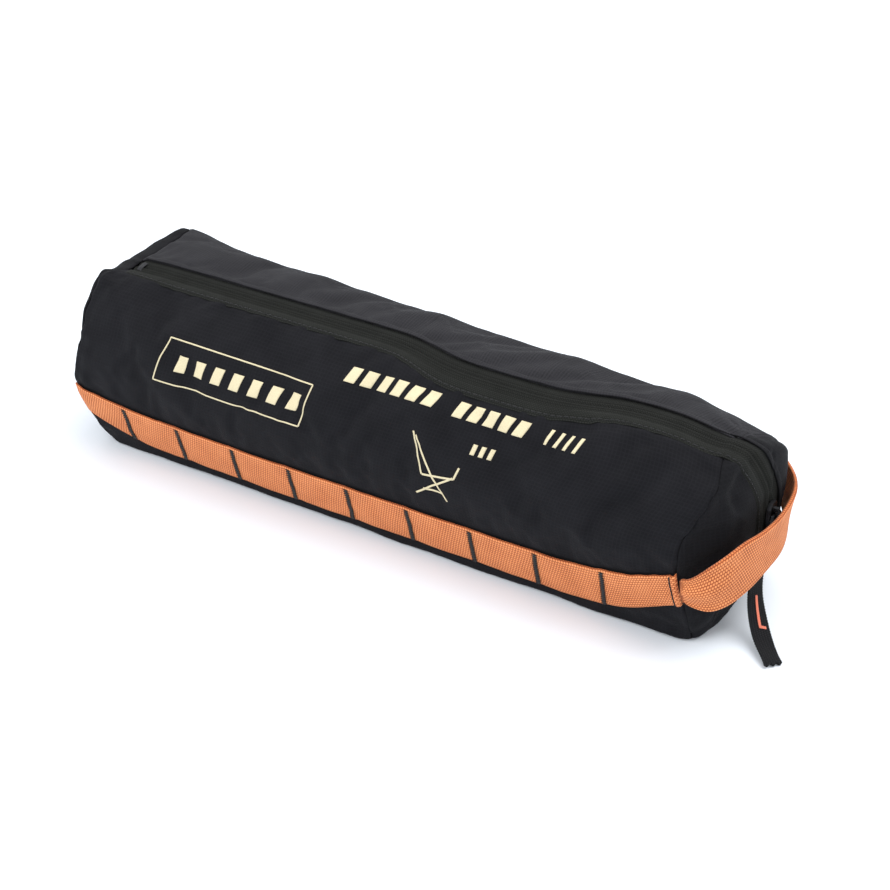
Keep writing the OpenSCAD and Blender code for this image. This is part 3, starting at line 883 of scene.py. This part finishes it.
def tube_mesh(name, paths, radius, sides=6):
    """One mesh of round-ended tubes along open paths."""
    pts, faces, start = [], [], 0
    turn = np.arange(sides) / sides * 2 * math.pi
    for path in paths:
        path = np.asarray(path, float)
        ahead = unit(np.gradient(path, axis=0))
        a = unit(np.cross(ahead, (0.0, 0.0, 1.0) if abs(ahead[0, 2]) < 0.9 else (1.0, 0.0, 0.0)))
        b = np.cross(ahead, a)
        taper = np.ones(len(path))
        taper[[0, -1]] = 0.55
        ring = np.cos(turn)[None, :, None] * a[:, None, :] + np.sin(turn)[None, :, None] * b[:, None, :]
        ring *= radius
        pts.append((path[:, None, :] + ring * taper[:, None, None]).reshape(-1, 3))
        faces += [*grid_faces(len(path), sides, True, start, close=True), range(start, start + sides)]
        start += len(path) * sides
        faces.append(range(start - 1, start - sides - 1, -1))
    return add_mesh(name, np.concatenate(pts), faces)


def zip_stitches(name, n0, n1):
    """The row of straight topstitches, each sunk at its ends."""
    paths, length = [], 2.5
    s = ZIP_S[n0] + 0.5
    while s + length < ZIP_S[n1]:
        k = [int(np.argmin(np.abs(ZIP_S - q))) for q in s + length * np.array([0, 0.12, 0.5, 0.88, 1.0])]
        rise = 0.55 + np.array([-0.35, 0.05, 0.16, 0.05, -0.35])
        paths.append(lay(ZIP[k] + ZIP_BACK[k] * STITCH_D, ZIP_N[k], rise))
        s += STITCH_PITCH
    return tube_mesh(name, paths, 0.24, 5)


def coil(name, n0, n1, side):
    """Nylon coil: a real helix along the tape's inner edge."""
    s = np.arange(ZIP_S[n0] + 0.4, ZIP_S[n1] - 0.4, COIL_PITCH / 8)
    centre, normal, across = (np.stack([np.interp(s, ZIP_S, v[:, c]) for c in range(3)], -1)
                              for v in (ZIP, ZIP_N, ZIP_BACK))
    a = 2 * math.pi * s / COIL_PITCH
    aside, lift = side * 1.7 + 1.35 * np.cos(a), -1.55 + 0.55 * np.sin(a)
    return tube_mesh(name, [centre + across * aside[:, None] + normal * lift[:, None]], 0.24, 4)


for name, n0, every, sides, relief, thick, material, slot, nodes in (
    ("front_hem", 0, 2, HEM_D, hem_relief, 0.9, TAPE, "zip_tape", ()),
    ("end_hem", SEAM_AT, 2, HEM_D, hem_relief, 0.9, TAPE, "zip_tape", ()),
    ("end_fold", SEAM_AT + 1, 3, BEAD_D, bead, 0.8, ENDS_PAINTED_SHADE, "fabric_end", ()),
    ("zip_tape_front_cloth", 0, 1, -TAPE_D[::-1], tape_relief, 0.45, TAPE, "zip_tape", ["zip_tape_front"]),
    ("end_tape_front", SEAM_AT, 1, -TAPE_D[::-1], end_tape_relief, 0.45, TAPE, "zip_tape", ["end_zip_tape"]),
    ("end_tape_rear", SEAM_AT, 1, TAPE_D, end_tape_relief, 0.45, TAPE, "zip_tape", ["end_zip_coil"]),
):
    n1 = SEAM_AT if n0 == 0 else END_N if relief is end_tape_relief else HEM_END
    dress(strip(name, n0, n1, every, sides, relief, thick), material, "bag", nodes)
dress(coil("zip_coil_front_wire", 0, SEAM_AT, -1), COIL, "bag", ["zip_coil_front"])
dress(zip_stitches("front_topstitch", 0, SEAM_AT), SEAM_THREAD, "bag")
dress(zip_stitches("end_topstitch", SEAM_AT + 1, HEM_END), SEAM_THREAD, "bag")

# The flap's pieces come in two halves, split at the middle of the zip.
GUSSET = 46.0
X_MID = float(ZIP[MIDDLE_AT, 0])
for side, start, way, x0, x1, n0, n1 in (
    ("left", SL, GUSSET, SL, X_MID, 0, MIDDLE_AT),
    ("right", SR, -GUSSET, X_MID, SR, MIDDLE_AT, SEAM_AT),
):
    for obj, material, slot, node in (
        (top_half(f"flap_{side}", x0, x1), TOP_PAINTED_LIGHT, "fabric_top", "top_flap"),
        (strip(f"flap_fold_{side}", n0, n1, 3, BEAD_D, bead, 0.8), TOP_PAINTED_LIGHT, "fabric_top", "flap_fold"),
        (strip(f"zip_tape_rear_{side}", n0, n1, 1, TAPE_D, tape_relief, 0.45), TAPE, "zip_tape",
         "zip_tape_rear"),
        (coil(f"zip_coil_rear_{side}", n0, n1, 1), COIL, "zip_coil", "zip_coil_rear"),
    ):
        dress(obj, material, None, [node])
        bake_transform(obj)
# --- orange webbing along the front

WEB_LO, WEB_HI = 2.2, 3.3
TACK_PITCH, TACK_MIDDLE = 37.5, -25.4
TACK_TRUE = TACK_MIDDLE + TACK_PITCH * (np.arange(9) - 4)
TACK_X = nominal(TACK_TRUE, 2.75 + web_lift(TACK_TRUE))
DAISY_END = SR - 3


def web_t(x, w):
    """Place round the section of a point w, from 0 at the lower edge to 1 at the upper edge."""
    x = np.asarray(x, float)
    tucked = 0.3 * smooth((x - 120) / 45) * (1 - w) + smooth((-155 - x) / 41) * (0.3 * (1 - w) + 0.1)
    return WEB_LO + (WEB_HI - WEB_LO) * w + web_lift(x) + tucked


def ribbed(w):
    """Cross profile of the webbing: fine lengthwise ribs with a rounded selvedge."""
    ribs = 0.16 * np.abs(np.cos(w * math.pi * 16)) ** 0.7
    return ribs - 0.95 * np.clip(1 - np.minimum(w, 1 - w) / 0.035, 0, 1) ** 2


def between_tacks(x):
    """0 at a bar tack or the end stitch, 1 midway between two."""
    places = np.concatenate([[SL - 8], TACK_X, [DAISY_END]])
    x = np.asarray(x, float)
    k = np.clip(np.searchsorted(places, x) - 1, 0, len(places) - 2)
    u = (x - places[k]) / (places[k + 1] - places[k])
    return np.sin(np.clip(u, 0, 1) * math.pi)


def webbing_relief(x, w):
    open_ = between_tacks(x)
    wave = 0.35 * ripple(x, 70.0, 11.0) * open_
    return 1.75 + 0.55 * open_**0.6 + wave + ribbed(w) - 1.5 * bell(x, SL, 3.0)


def on_front(x, w, off):
    t = web_t(x, w)
    return skin(x, t, off + front_relief(x, arc_of(t)) * 0.4)


def web_piece(name, x0, x1, step, relief, thick, fine_at=()):
    xs = spaced(x0, x1, step, fine_at, 0.4, 2.0)
    x, w = np.meshgrid(xs, np.linspace(0, 1, 65), indexing="ij")
    outer = on_front(x, w, relief(x, w))
    return cloth_sheet(name, outer, np.stack([x, w * 25], -1), thick, -grid_normals_open(outer))


daisy = web_piece("daisy_webbing", SL + 0.2, DAISY_END, 1.3, webbing_relief, 1.35, tuple(TACK_X))
dress(daisy, ORANGE, "bag", ["daisy_chain"])


def tack_line(tx, n, w, zig):
    """Front-panel place of a bar tack's thread, which leans and wanders a little."""
    return tx + zig + 0.5 * ripple(w * 9, 80.0 + n, 2.5) + 0.6 * (0.5 - w)


tacks = []
for n, tx in enumerate(TACK_TRUE):
    w = np.linspace(0.045, 0.955, 33)
    flip = np.cos(np.arange(33) * math.pi)
    zigzag = on_front(nominal(tack_line(tx, n, w, -1.25 * flip), web_t(tx, w)), w, 2.5 + 0.1 * flip)
    tacks += [zigzag[k : k + 2] for k in range(32)]
    w = np.linspace(0.05, 0.95, 24)
    tacks.append(on_front(nominal(tack_line(tx, n, w, 0), web_t(tx, w)), w, 2.35))
dress(tube_mesh("daisy_bar_tacks", tacks, 0.55), BLACK_THREAD, "bag", ["daisy_tacks"])

end_rows = []
for low in 0.03 + 0.0725 * np.arange(13):
    w = low + np.array([0, 0.008, 0.031, 0.054, 0.062])
    end_rows.append(on_front(DAISY_END - 0.5, w, 2.05 + np.array([-0.35, 0.1, 0.22, 0.1, -0.35])))
seam = tube_mesh("daisy_end_stitching", end_rows, 0.36)
dress(seam, BLACK_THREAD, "bag", ["daisy_end_stitch"])


def fold_relief(x, w):
    """Doubled tail: proud of the webbing, rounded at the fold, dying into the seam."""
    u = (x - DAISY_END) / (SR - 0.3 - DAISY_END)
    return 1.8 + 0.9 * np.sin(np.clip(u, 0, 1) * math.pi) ** 0.5 + ribbed(w) - 0.6 * smooth((u - 0.75) / 0.25)


tail = web_piece("daisy_tail_fold", DAISY_END + 0.05, SR - 0.3, 0.35, fold_relief, 1.5)
dress(tail, ORANGE, "bag", ["daisy_fold"])

# --- grab handle


def spline(points, count):
    """Smooth curve through points, as count samples evenly spread along it."""
    p = np.asarray(points, float)
    knots = running(p)
    ext = np.concatenate([[2 * p[0] - p[1]], p, [2 * p[-1] - p[-2]]])
    q = np.linspace(0, knots[-1], count)
    k = np.clip(np.searchsorted(knots, q, side="right") - 1, 0, len(p) - 2)
    w = blend_rows((q - knots[k]) / (knots[k + 1] - knots[k]))
    return sum(w[:, a, None] * ext[k + a] for a in range(4))


HANDLE_TOP = [(166.7, -50.0, 46.4), (168.0, -53.1, 47.8), (172.6, -53.9, 50.6), (180.0, -52.4, 58.2),
              (187, -47, 65), (191.6, -37, 68.2), (195.8, -22, 67.4), (197.6, -4, 66.8), (196.5, 14, 68.4),
              (191.2, 30, 66.4), (183, 43, 64.8), (174, 50.5, 64.5), (168.8, 52.6, 64.5)]
HANDLE_LOW = [(167.9, -49.4, 35.2), (169.4, -52.5, 34.8), (174.4, -53.4, 33.6), (182.4, -51.2, 33.0),
              (189.0, -44.5, 35.0), (193.8, -33, 38.4), (196.6, -18, 41.4), (197.8, -2, 43.0),
              (194.8, 14, 43.4), (188.6, 30, 41.5), (182, 43, 40.0), (173.5, 51.2, 40.0), (168.8, 52.8, 40.0)]
H_TOP, H_LOW = spline(HANDLE_TOP, 170), spline(HANDLE_LOW, 170)
H_W = np.linspace(0, 1, 65)
H_GRID = H_LOW[:, None, :] * (1 - H_W)[None, :, None] + H_TOP[:, None, :] * H_W[None, :, None]
H_NORMAL = grid_normals_open(H_GRID)
H_S = running((H_TOP + H_LOW) / 2)


def handle():
    """The grab handle: cupped where it leaves the seam, bowed and slightly buckled along the end."""
    s, w = H_S[:, None], H_W[None, :]
    cup = 1.5 * bell(s, 0, 26.0) * smooth(s / 9) * np.cos((w - 0.5) * 2.6 * math.pi)
    bow = -0.7 * (1 - (2 * w - 1) ** 2) * smooth(s / 50)
    buckle = 0.5 * ripple(s, 90.0, 17.0) * (w - 0.4)
    outer = H_GRID + H_NORMAL * (0.7 + cup + bow + buckle + ribbed(w))[..., None]
    uv = np.stack(np.broadcast_arrays(s, w * 25), -1)
    return cloth_sheet("grab_handle_webbing", outer, uv, 1.35, -H_NORMAL)


dress(handle(), ORANGE, "handle", ["grab_handle"])


def handle_rows(end, places):
    """Rows of stitches across the handle, at places along it."""
    paths = []
    for at in places:
        k = int(np.argmin(np.abs(H_S - at)))
        for j in range(4, 60, 5):
            stitch = slice(j, j + 4)
            paths.append(H_GRID[k, stitch] + H_NORMAL[k, stitch] * np.array([[0.75], [1.2], [1.2], [0.75]]))
    dress(tube_mesh(f"handle_stitching_{end}", paths, 0.3, 5), ORANGE_THREAD, "handle",
          [f"handle_stitch_{end}"])


handle_rows("front", (2.8, 3.8))
handle_rows("back", (H_S[-1] - 2.4, H_S[-1] - 1.4))

# --- slider, ring and strap

ring_lo, ring_hi = (np.array(v) * 1000 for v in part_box("pull_tab"))
PULL_X, PULL_Y, PULL_Z = (ring_lo[0] + ring_hi[0]) / 2, (ring_lo[1] + ring_hi[1]) / 2, ring_hi[2] - 0.7
STRAP_MID = [(-0.2, 0, -10.75), (-1.1, -4, -20), (-1.7, -9.2, -29), (-0.6, -14.8, -37.5), (3.4, -20.6, -46),
             (10.6, -28.6, -54.4), (20.6, -39, -58.6)]
STRAP_ACROSS = [(0, 1, 0), (0.06, 0.95, -0.3), (0.4, 0.87, -0.28), (0.8, 0.58, -0.12), (0.7, 0.7, -0.18),
                (0.62, 0.76, -0.2), (0.66, 0.74, -0.1)]


STRAP_RIB = 1.35  # from one rib of the strap's weave to the next


def strap_frame(count):
    """The strap's middle line, the unit ways across, off its face and along it, and the distance along it."""
    mid = spline(np.array(STRAP_MID) + (PULL_X, PULL_Y, PULL_Z), count)
    across = unit(spline(STRAP_ACROSS, count))
    ahead = unit(np.gradient(mid, axis=0))
    return mid, across, unit(np.cross(ahead, across)), ahead, running(mid)


def strap():
    """Flat ribbed strap with notched selvedges and a cut tip."""
    mid, across, face, ahead, s = strap_frame(150)
    s, v = s[:, None], np.linspace(-1, 1, 27)[None, :]
    pick = np.cos(2 * math.pi * s / STRAP_RIB)
    half = 5.0 * v + np.sign(v) * 0.14 * pick * bell(1 - np.abs(v), 0, 0.12)
    ribs = 0.10 * np.abs(np.cos(v * math.pi * 4)) + 0.10 * pick
    thick = 0.62 - 0.4 * np.clip((np.abs(v) - 0.9) / 0.1, 0, 1) ** 2 + ribs
    fray = 1.5 * bell(s[-1] - s, 0, 1.2) * (0.35 * np.cos(v * 9))
    base = mid[:, None, :] + across[:, None, :] * half[..., None] + ahead[:, None, :] * fray[..., None]
    sides = [base + sign * face[:, None, :] * thick[..., None] for sign in (1, -1)]
    for side in sides:
        side[..., 2] = np.maximum(side[..., 2], 0.05)
    return two_sided("zip_pull_strap", *sides, np.stack(np.broadcast_arrays(s, v * 5), -1))


dress(strap(), STRAP, "pull", ["pull_strap"])

mid, across, face, _, strap_s = strap_frame(400)
outward = 1.0 if face[150, 0] * 0.5 - face[150, 1] * 0.8 > 0 else -1.0
bar = []
for side in (-0.42, 0.0, 0.42):
    for first, last, start, end in ((33.0, 49.0, side, side), (49.0 + side, 49.6 + side, -0.6, 3.0)):
        rows = np.searchsorted(strap_s, np.linspace(first, last, 26))
        lift = 0.86 + 0.12 * np.sin(np.linspace(0, math.pi, 26)) ** 0.3
        sway = np.linspace(start, end, 26) + 0.07 * np.cos(np.arange(26) * math.pi)
        bar.append(mid[rows] + across[rows] * sway[:, None] + outward * face[rows] * lift[:, None])
dress(tube_mesh("strap_bar_tack", bar, 0.3), CORAL, "pull", ["strap_tack"])

# --- generic screen print on the front

PRINT_LIFT = 0.24


def slanted(x, low, high, width, slant):
    """Corners of one slanted bar."""
    return [(x, low), (x + width, low), (x + width + slant, high), (x + slant, high)]


def stroke(p, q, width):
    """Corners of a straight line from p to q."""
    p, q = np.array(p, float), np.array(q, float)
    side = np.array([p[1] - q[1], q[0] - p[0]]) * width / 2 / np.linalg.norm(q - p)
    return [p - side, q - side, q + side, p + side]


def on_panel(x, a):
    """Point of the front panel's outer face at true x and distance a round the section."""
    t = t_of(a)
    place = nominal(x, t)
    drawn = a
    for _ in range(4):
        drawn = drawn + a - front_shift(place, drawn)
    return skin(place, t, front_relief(place, drawn) + PRINT_LIFT)


def printed(name, quads, step=0.9):
    """Thin ink shapes. Each quad is four corners (x, distance from the front panel's lower edge)."""
    points, faces, maps = [], [], []
    for quad in quads:
        c = np.array(quad, float) + (0, A_FRONT)
        sides = np.linalg.norm(c[[1, 2, 3, 0]] - c, axis=1)
        nu, nv = (max(2, int(np.ceil(max(sides[k], sides[k + 2]) / step)) + 1) for k in (0, 1))
        u, v = np.meshgrid(np.linspace(0, 1, nu), np.linspace(0, 1, nv), indexing="ij")
        u, v = u[..., None], v[..., None]
        flat = (1 - v) * ((1 - u) * c[0] + u * c[1]) + v * ((1 - u) * c[3] + u * c[2])
        outer = on_panel(flat[..., 0], flat[..., 1])
        faces += sheet_faces(nu, nv, sum(len(p) for p in points))
        points += [outer.reshape(-1, 3), (outer - 0.14 * grid_normals_open(outer)).reshape(-1, 3)]
        maps += [flat.reshape(-1, 2)] * 2
    return add_mesh(name, np.concatenate(points), faces, np.concatenate(maps))


def frame_and_bars():
    """An outlined panel that holds a row of slanted bars."""
    corners = [(-148.8, 68.7), (-53.1, 68.9), (-47.8, 93.1), (-140.4, 94.5)]
    shapes = [stroke(p, q, 0.8) for p, q in zip(corners, corners[1:] + corners[:1])]
    return shapes + [slanted(-135.5 + 12.2 * k, 76.6, 86.2, 6.2, 2.8) for k in range(7)]


def dashes():
    """Groups of slanted bars in a row, bold and then light."""
    shapes = []
    for start, end, count, share, low, high in (
        (-32, 24, 6, 0.66, 99.6, 108.2), (33, 75, 5, 0.66, 98.6, 107.0), (84, 106, 4, 0.34, 98.8, 107.0)
    ):
        pitch = (end - start) / count
        shapes += [slanted(start + pitch * k, low, high, pitch * share, 2.6) for k in range(count)]
    return shapes


def chair_sign():
    """A plain camp chair drawn with six strokes."""
    back, hip, knee = (15.0, 85.5), (23.0, 64.5), (41.5, 67.5)
    lines = [(back, hip), (hip, knee), ((17, 84), (37.5, 52)), ((41.0, 68.0), (19.5, 52)),
             (knee, (44.0, 74.5)), ((23.8, 56.0), (34.5, 56.0))]
    return [stroke(p, q, 1.1) for p, q in lines]


small_bars = [slanted(48 + 4.6 * k, 83.0, 88.6, 2.4, 1.2) for k in range(3)]
prints = frame_and_bars() + dashes() + chair_sign() + small_bars
dress(printed("front_print", prints), INK, "bag")

# --- zip stops


def stop_staple():
    """Bent metal staple over both coils at the closed end of the top zip."""
    n = 11
    d = np.linspace(-3.7, 3.7, 15)
    height = 0.7 - 1.5 * (np.abs(d) / 3.7) ** 5
    paths = []
    for step in (-3, 0, 3):
        base = ZIP[n + step] + ZIP_BACK[n] * d[:, None]
        paths.append(lay(base, np.broadcast_to(ZIP_N[n], base.shape), height + 0.25 * (step == 0)))
    return tube_mesh("zip_staple", paths, 0.6, 10)


dress(stop_staple(), METAL, "bag", ["zip_bottom_stop"])

# --- folded chair: tubes, hubs, feet and cords


SIDES = ("left", "right")
POLES = ("leg_front", "leg_rear", "seat_pole", "back_pole_lower", "back_pole_upper")
for names, material, slot in (
    (("slider_body", "slider_bridge", "zip_top_stop"), METAL, "slider_metal"),
    (("pull_tab",), PULL_METAL, "slider_metal"),
    ([f"hub_{side}" for side in SIDES], HUB, "hub_plastic"),
    (["spreader"] + [f"{pole}_{side}" for pole in POLES for side in SIDES], ALUMINIUM, "pole_aluminium"),
    (("leg_feet",), RUBBER, "foot_rubber"),
    (("pole_tips",), TIP, "tip_plastic"),
    ([f"shock_cord_{side}" for side in SIDES], SHOCK, "shock_cord"),
):
    for node in names:
        dress(NODES[node], material, None)

# --- folded seat


def node_box(node):
    return [np.array(v) * 1000 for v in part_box(node)]


def rounded(angle, half_y, half_z, power=3.4):
    """Point of a rounded rectangle's outline, half_y and half_z from its middle."""
    c, s = np.cos(angle), np.sin(angle)
    r = (np.abs(c / half_y) ** power + np.abs(s / half_z) ** power) ** (-1 / power)
    return r * c, r * s


SLING_LO, SLING_HI = node_box("seat_sling")
BAND_LO, BAND_HI = node_box("binding_tape")
ROLL_Y, ROLL_Z = (SLING_LO[1:] + SLING_HI[1:]) / 2
BAND_X = (BAND_LO[0] + BAND_HI[0]) / 2
LAYER, TURNS = 2.3, 4.3


def seat_roll():
    """The seat's cloth, rolled flat: a spiral whose layers show at both ends."""
    places = np.linspace(SLING_LO[0] + 1, SLING_HI[0] - 1, 66)
    angle, x = np.meshgrid(np.linspace(0, TURNS * 2 * math.pi, 232), places, indexing="ij")
    inwards = TURNS - angle / (2 * math.pi)
    waist = 1 - 0.035 * bell(x, BAND_X, 15)
    loose = 0.55 * ripple(x + 40 * angle, 110.0, 17.0) * smooth((1.3 - inwards) / 0.6)
    y, z = rounded(angle, 28.2 - LAYER * inwards, 11.2 - LAYER * inwards)
    grow = waist * (1 + loose / np.maximum(np.hypot(y, z), 1))
    from_middle = np.abs(2 * (x - SLING_LO[0]) / (SLING_HI[0] - SLING_LO[0]) - 1)
    x = x + 1.6 * ripple(angle * 9, 111.0, 8.0) * from_middle**8
    outer = np.stack([x, ROLL_Y + y * grow, ROLL_Z + z * grow], -1)
    run = running(outer[:, 30])
    uv = np.stack([np.broadcast_to(run[:, None], x.shape), x], -1)
    return cloth_sheet("seat_roll", outer, uv, 0.9, -grid_normals_open(outer)), run[-1]


roll, roll_length = seat_roll()
dress(roll, SEAT, "bag", ["seat_sling"])


def elastic_band():
    """Ribbed elastic round the roll, with soft selvedges."""
    across = np.linspace(BAND_LO[0], BAND_HI[0], 33)
    angle = np.linspace(0, 2 * math.pi, 120, endpoint=False)
    x, a = np.meshgrid(across, angle, indexing="ij")
    w = (x - BAND_LO[0]) / (BAND_HI[0] - BAND_LO[0])
    rib = 0.14 * np.abs(np.cos(w * math.pi * 12)) - 0.5 * np.clip(1 - np.minimum(w, 1 - w) / 0.05, 0, 1) ** 2
    y, z = rounded(a, 29.4, 12.6)
    grow = 1 + rib / np.hypot(y, z)
    outer = np.stack([x, ROLL_Y + y * grow, ROLL_Z + z * grow], -1)
    inner = np.stack([x, ROLL_Y + y * 0.953, ROLL_Z + z * 0.92], -1)
    rows, cols = x.shape
    faces = [*grid_faces(rows, cols, True, close=True),
             *grid_faces(rows, cols, False, rows * cols, close=True),
             *rim_faces(rows, cols, 0, False), *rim_faces(rows, cols, rows - 1, True)]
    return two_sided("elastic_band", outer, inner, np.stack([a / (2 * math.pi) * 150, x], -1), faces)


dress(elastic_band(), ELASTIC, "bag", ["binding_tape"])


def folded_net(node):
    """Mesh side panel in four flat folds, the cords of its top layer, and its flat length and width."""
    lo, hi = node_box(node)
    folds, radius = 4, 1.05
    path = []
    for k in range(folds):
        level = lo[2] + 0.7 + 2 * radius * k
        way = 1 if k % 2 == 0 else -1
        a, b = (lo[1] + radius + 1, hi[1] - radius - 1)[::way]
        path += [(y, level) for y in np.linspace(a, b, 22)]
        if k < folds - 1:
            turn = np.linspace(0.5, 2.64, 4)
            path += [(b + way * radius * math.sin(q), level + radius - radius * math.cos(q)) for q in turn]
    path = np.array(path)
    run = running(path)
    x = np.linspace(lo[0] + 0.5, hi[0] - 0.5, 54)[None, :]
    wave = 0.3 * ripple(x + 3 * run[:, None], 120.0, 13.0)
    outer = np.stack(np.broadcast_arrays(x, path[:, :1], path[:, 1:] + wave), -1)
    uv = np.stack(np.broadcast_arrays(run[:, None], x), -1)
    cloth = cloth_sheet(node + "_cloth", outer, uv, 0.7, -grid_normals_open(outer))
    k = np.arange(int((hi[0] - lo[0] - 2) / 2.1))
    cord_x = lo[0] + 1 + 2.1 * k
    cord_z = level + 0.35 + 0.3 * ripple(lo[0] + 2.1 * k, 121.0, 13.0)
    cords = []
    for row, y in enumerate(np.arange(lo[1] + 3, hi[1] - 3, 2.3)):
        cords.append(np.stack([cord_x, y + 0.95 * np.where((k + row) % 2 == 0, -1, 1), cord_z], -1))
    return cloth, tube_mesh(node + "_net", cords, 0.32, 4), run[-1], hi[0] - lo[0] - 1


for side in SIDES:
    cloth, net, run, width = folded_net(f"mesh_panel_{side}")
    dress(cloth, MESH, "bag", [f"mesh_panel_{side}"])
    dress(net, THREAD_NET, "bag")


def corner_pocket(node, way):
    """Reinforced pocket for a pole's tip, folded flat: its mouth faces away from the roll."""
    lo, hi = node_box(node)
    back, mouth = (hi[0], lo[0]) if way < 0 else (lo[0], hi[0])
    middle = (lo + hi) / 2
    outline = ((0, 0.02), (0, 0.8), (0.06, 0.93), (0.25, 1.0), (0.7, 0.985), (0.9, 0.96), (0.985, 0.93),
               (1.0, 0.89), (0.99, 0.84), (0.9, 0.8), (0.55, 0.74), (0.5, 0.02))

    def outline_at(u, size, q, grow):
        y, z = rounded(q, 12.8 * size, 8.8 * size, 4.0)
        x = np.full_like(y, back + (mouth - back) * u)
        return np.stack([x, middle[1] + y * grow, middle[2] + z * grow], -1)

    angle = np.linspace(0, 2 * math.pi, 72, endpoint=False)
    grid = np.array([outline_at(u, size, angle, 1 + 0.03 * ripple(angle * 4 + 3 * u, 130.0 + lo[1], 2.5))
                     for u, size in outline])
    rows, cols = grid.shape[:2]
    faces = [*grid_faces(rows, cols, way > 0, close=True), range(cols)[::way],
             range((rows - 1) * cols, rows * cols)[::-way]]
    uv = np.stack(np.broadcast_arrays(np.abs(grid[..., 0] - back), angle * 10), -1)
    body = add_mesh(node + "_pouch", grid.reshape(-1, 3), faces, uv.reshape(-1, 2))
    stitches = [outline_at(u, size, q + np.array([0, 0.04, 0.1, 0.14]), np.array([0.98, 1.025, 1.025, 0.98]))
                for u, size in ((0.72, 1.0), (0.86, 0.985)) for q in np.arange(0, 2 * math.pi, 0.21)]
    return body, tube_mesh(node + "_stitching", stitches, 0.26, 5)


for end, way in (("left", -1), ("right", 1)):
    for row in ("front", "rear"):
        pouch, stitches = corner_pocket(f"pocket_{row}_{end}", way)
        dress(pouch, SEAT, "bag", [f"pocket_{row}_{end}"])
        dress(stitches, ORANGE_THREAD, "bag")


# --- floor and light

paper = Nodes("floor")
tone = paper.noise(paper.coords(1.0, "object"), 3.0, 2.0)
paper.finish(paper.ramp(tone, [(0.3, (0.845, 0.885, 0.935)), (0.7, (0.875, 0.915, 0.965))]), 0.55,
             Specular_IOR_Level=0.25)
floor_mesh = bpy.data.meshes.new("floor")
floor_mesh.from_pydata([(-6, -6, 0), (6, -6, 0), (6, 6, 0), (-6, 6, 0)], [], [(0, 1, 2, 3)])
floor = bpy.data.objects.new("floor", floor_mesh)
floor_mesh.materials.append(paper.mat)
bpy.context.scene.collection.objects.link(floor)

world = bpy.data.worlds.new("studio")
bpy.context.scene.world = world
world.use_nodes = True
world.node_tree.nodes["Background"].inputs["Color"].default_value = (0.96, 0.98, 1.0, 1)
world.node_tree.nodes["Background"].inputs["Strength"].default_value = 1.0


def softbox(name, at, target, size, power, colour=(1, 1, 1)):
    light = bpy.data.lights.new(name, "AREA")
    light.shape = "RECTANGLE"
    light.size, light.size_y = size
    light.energy = power
    light.color = colour
    obj = bpy.data.objects.new(name, light)
    obj.location = at
    obj.rotation_mode = "QUATERNION"
    obj.rotation_quaternion = (Vector(target) - Vector(at)).to_track_quat("-Z", "Y")
    bpy.context.scene.collection.objects.link(obj)


softbox("top_light", (0.5, 0.5, 1.45), (0, 0, 0.05), (1.6, 1.2), 20)
softbox("front_light", (-0.9, -1.3, 1.2), (0, 0, 0.05), (1.6, 1.2), 20, (0.97, 0.985, 1.0))
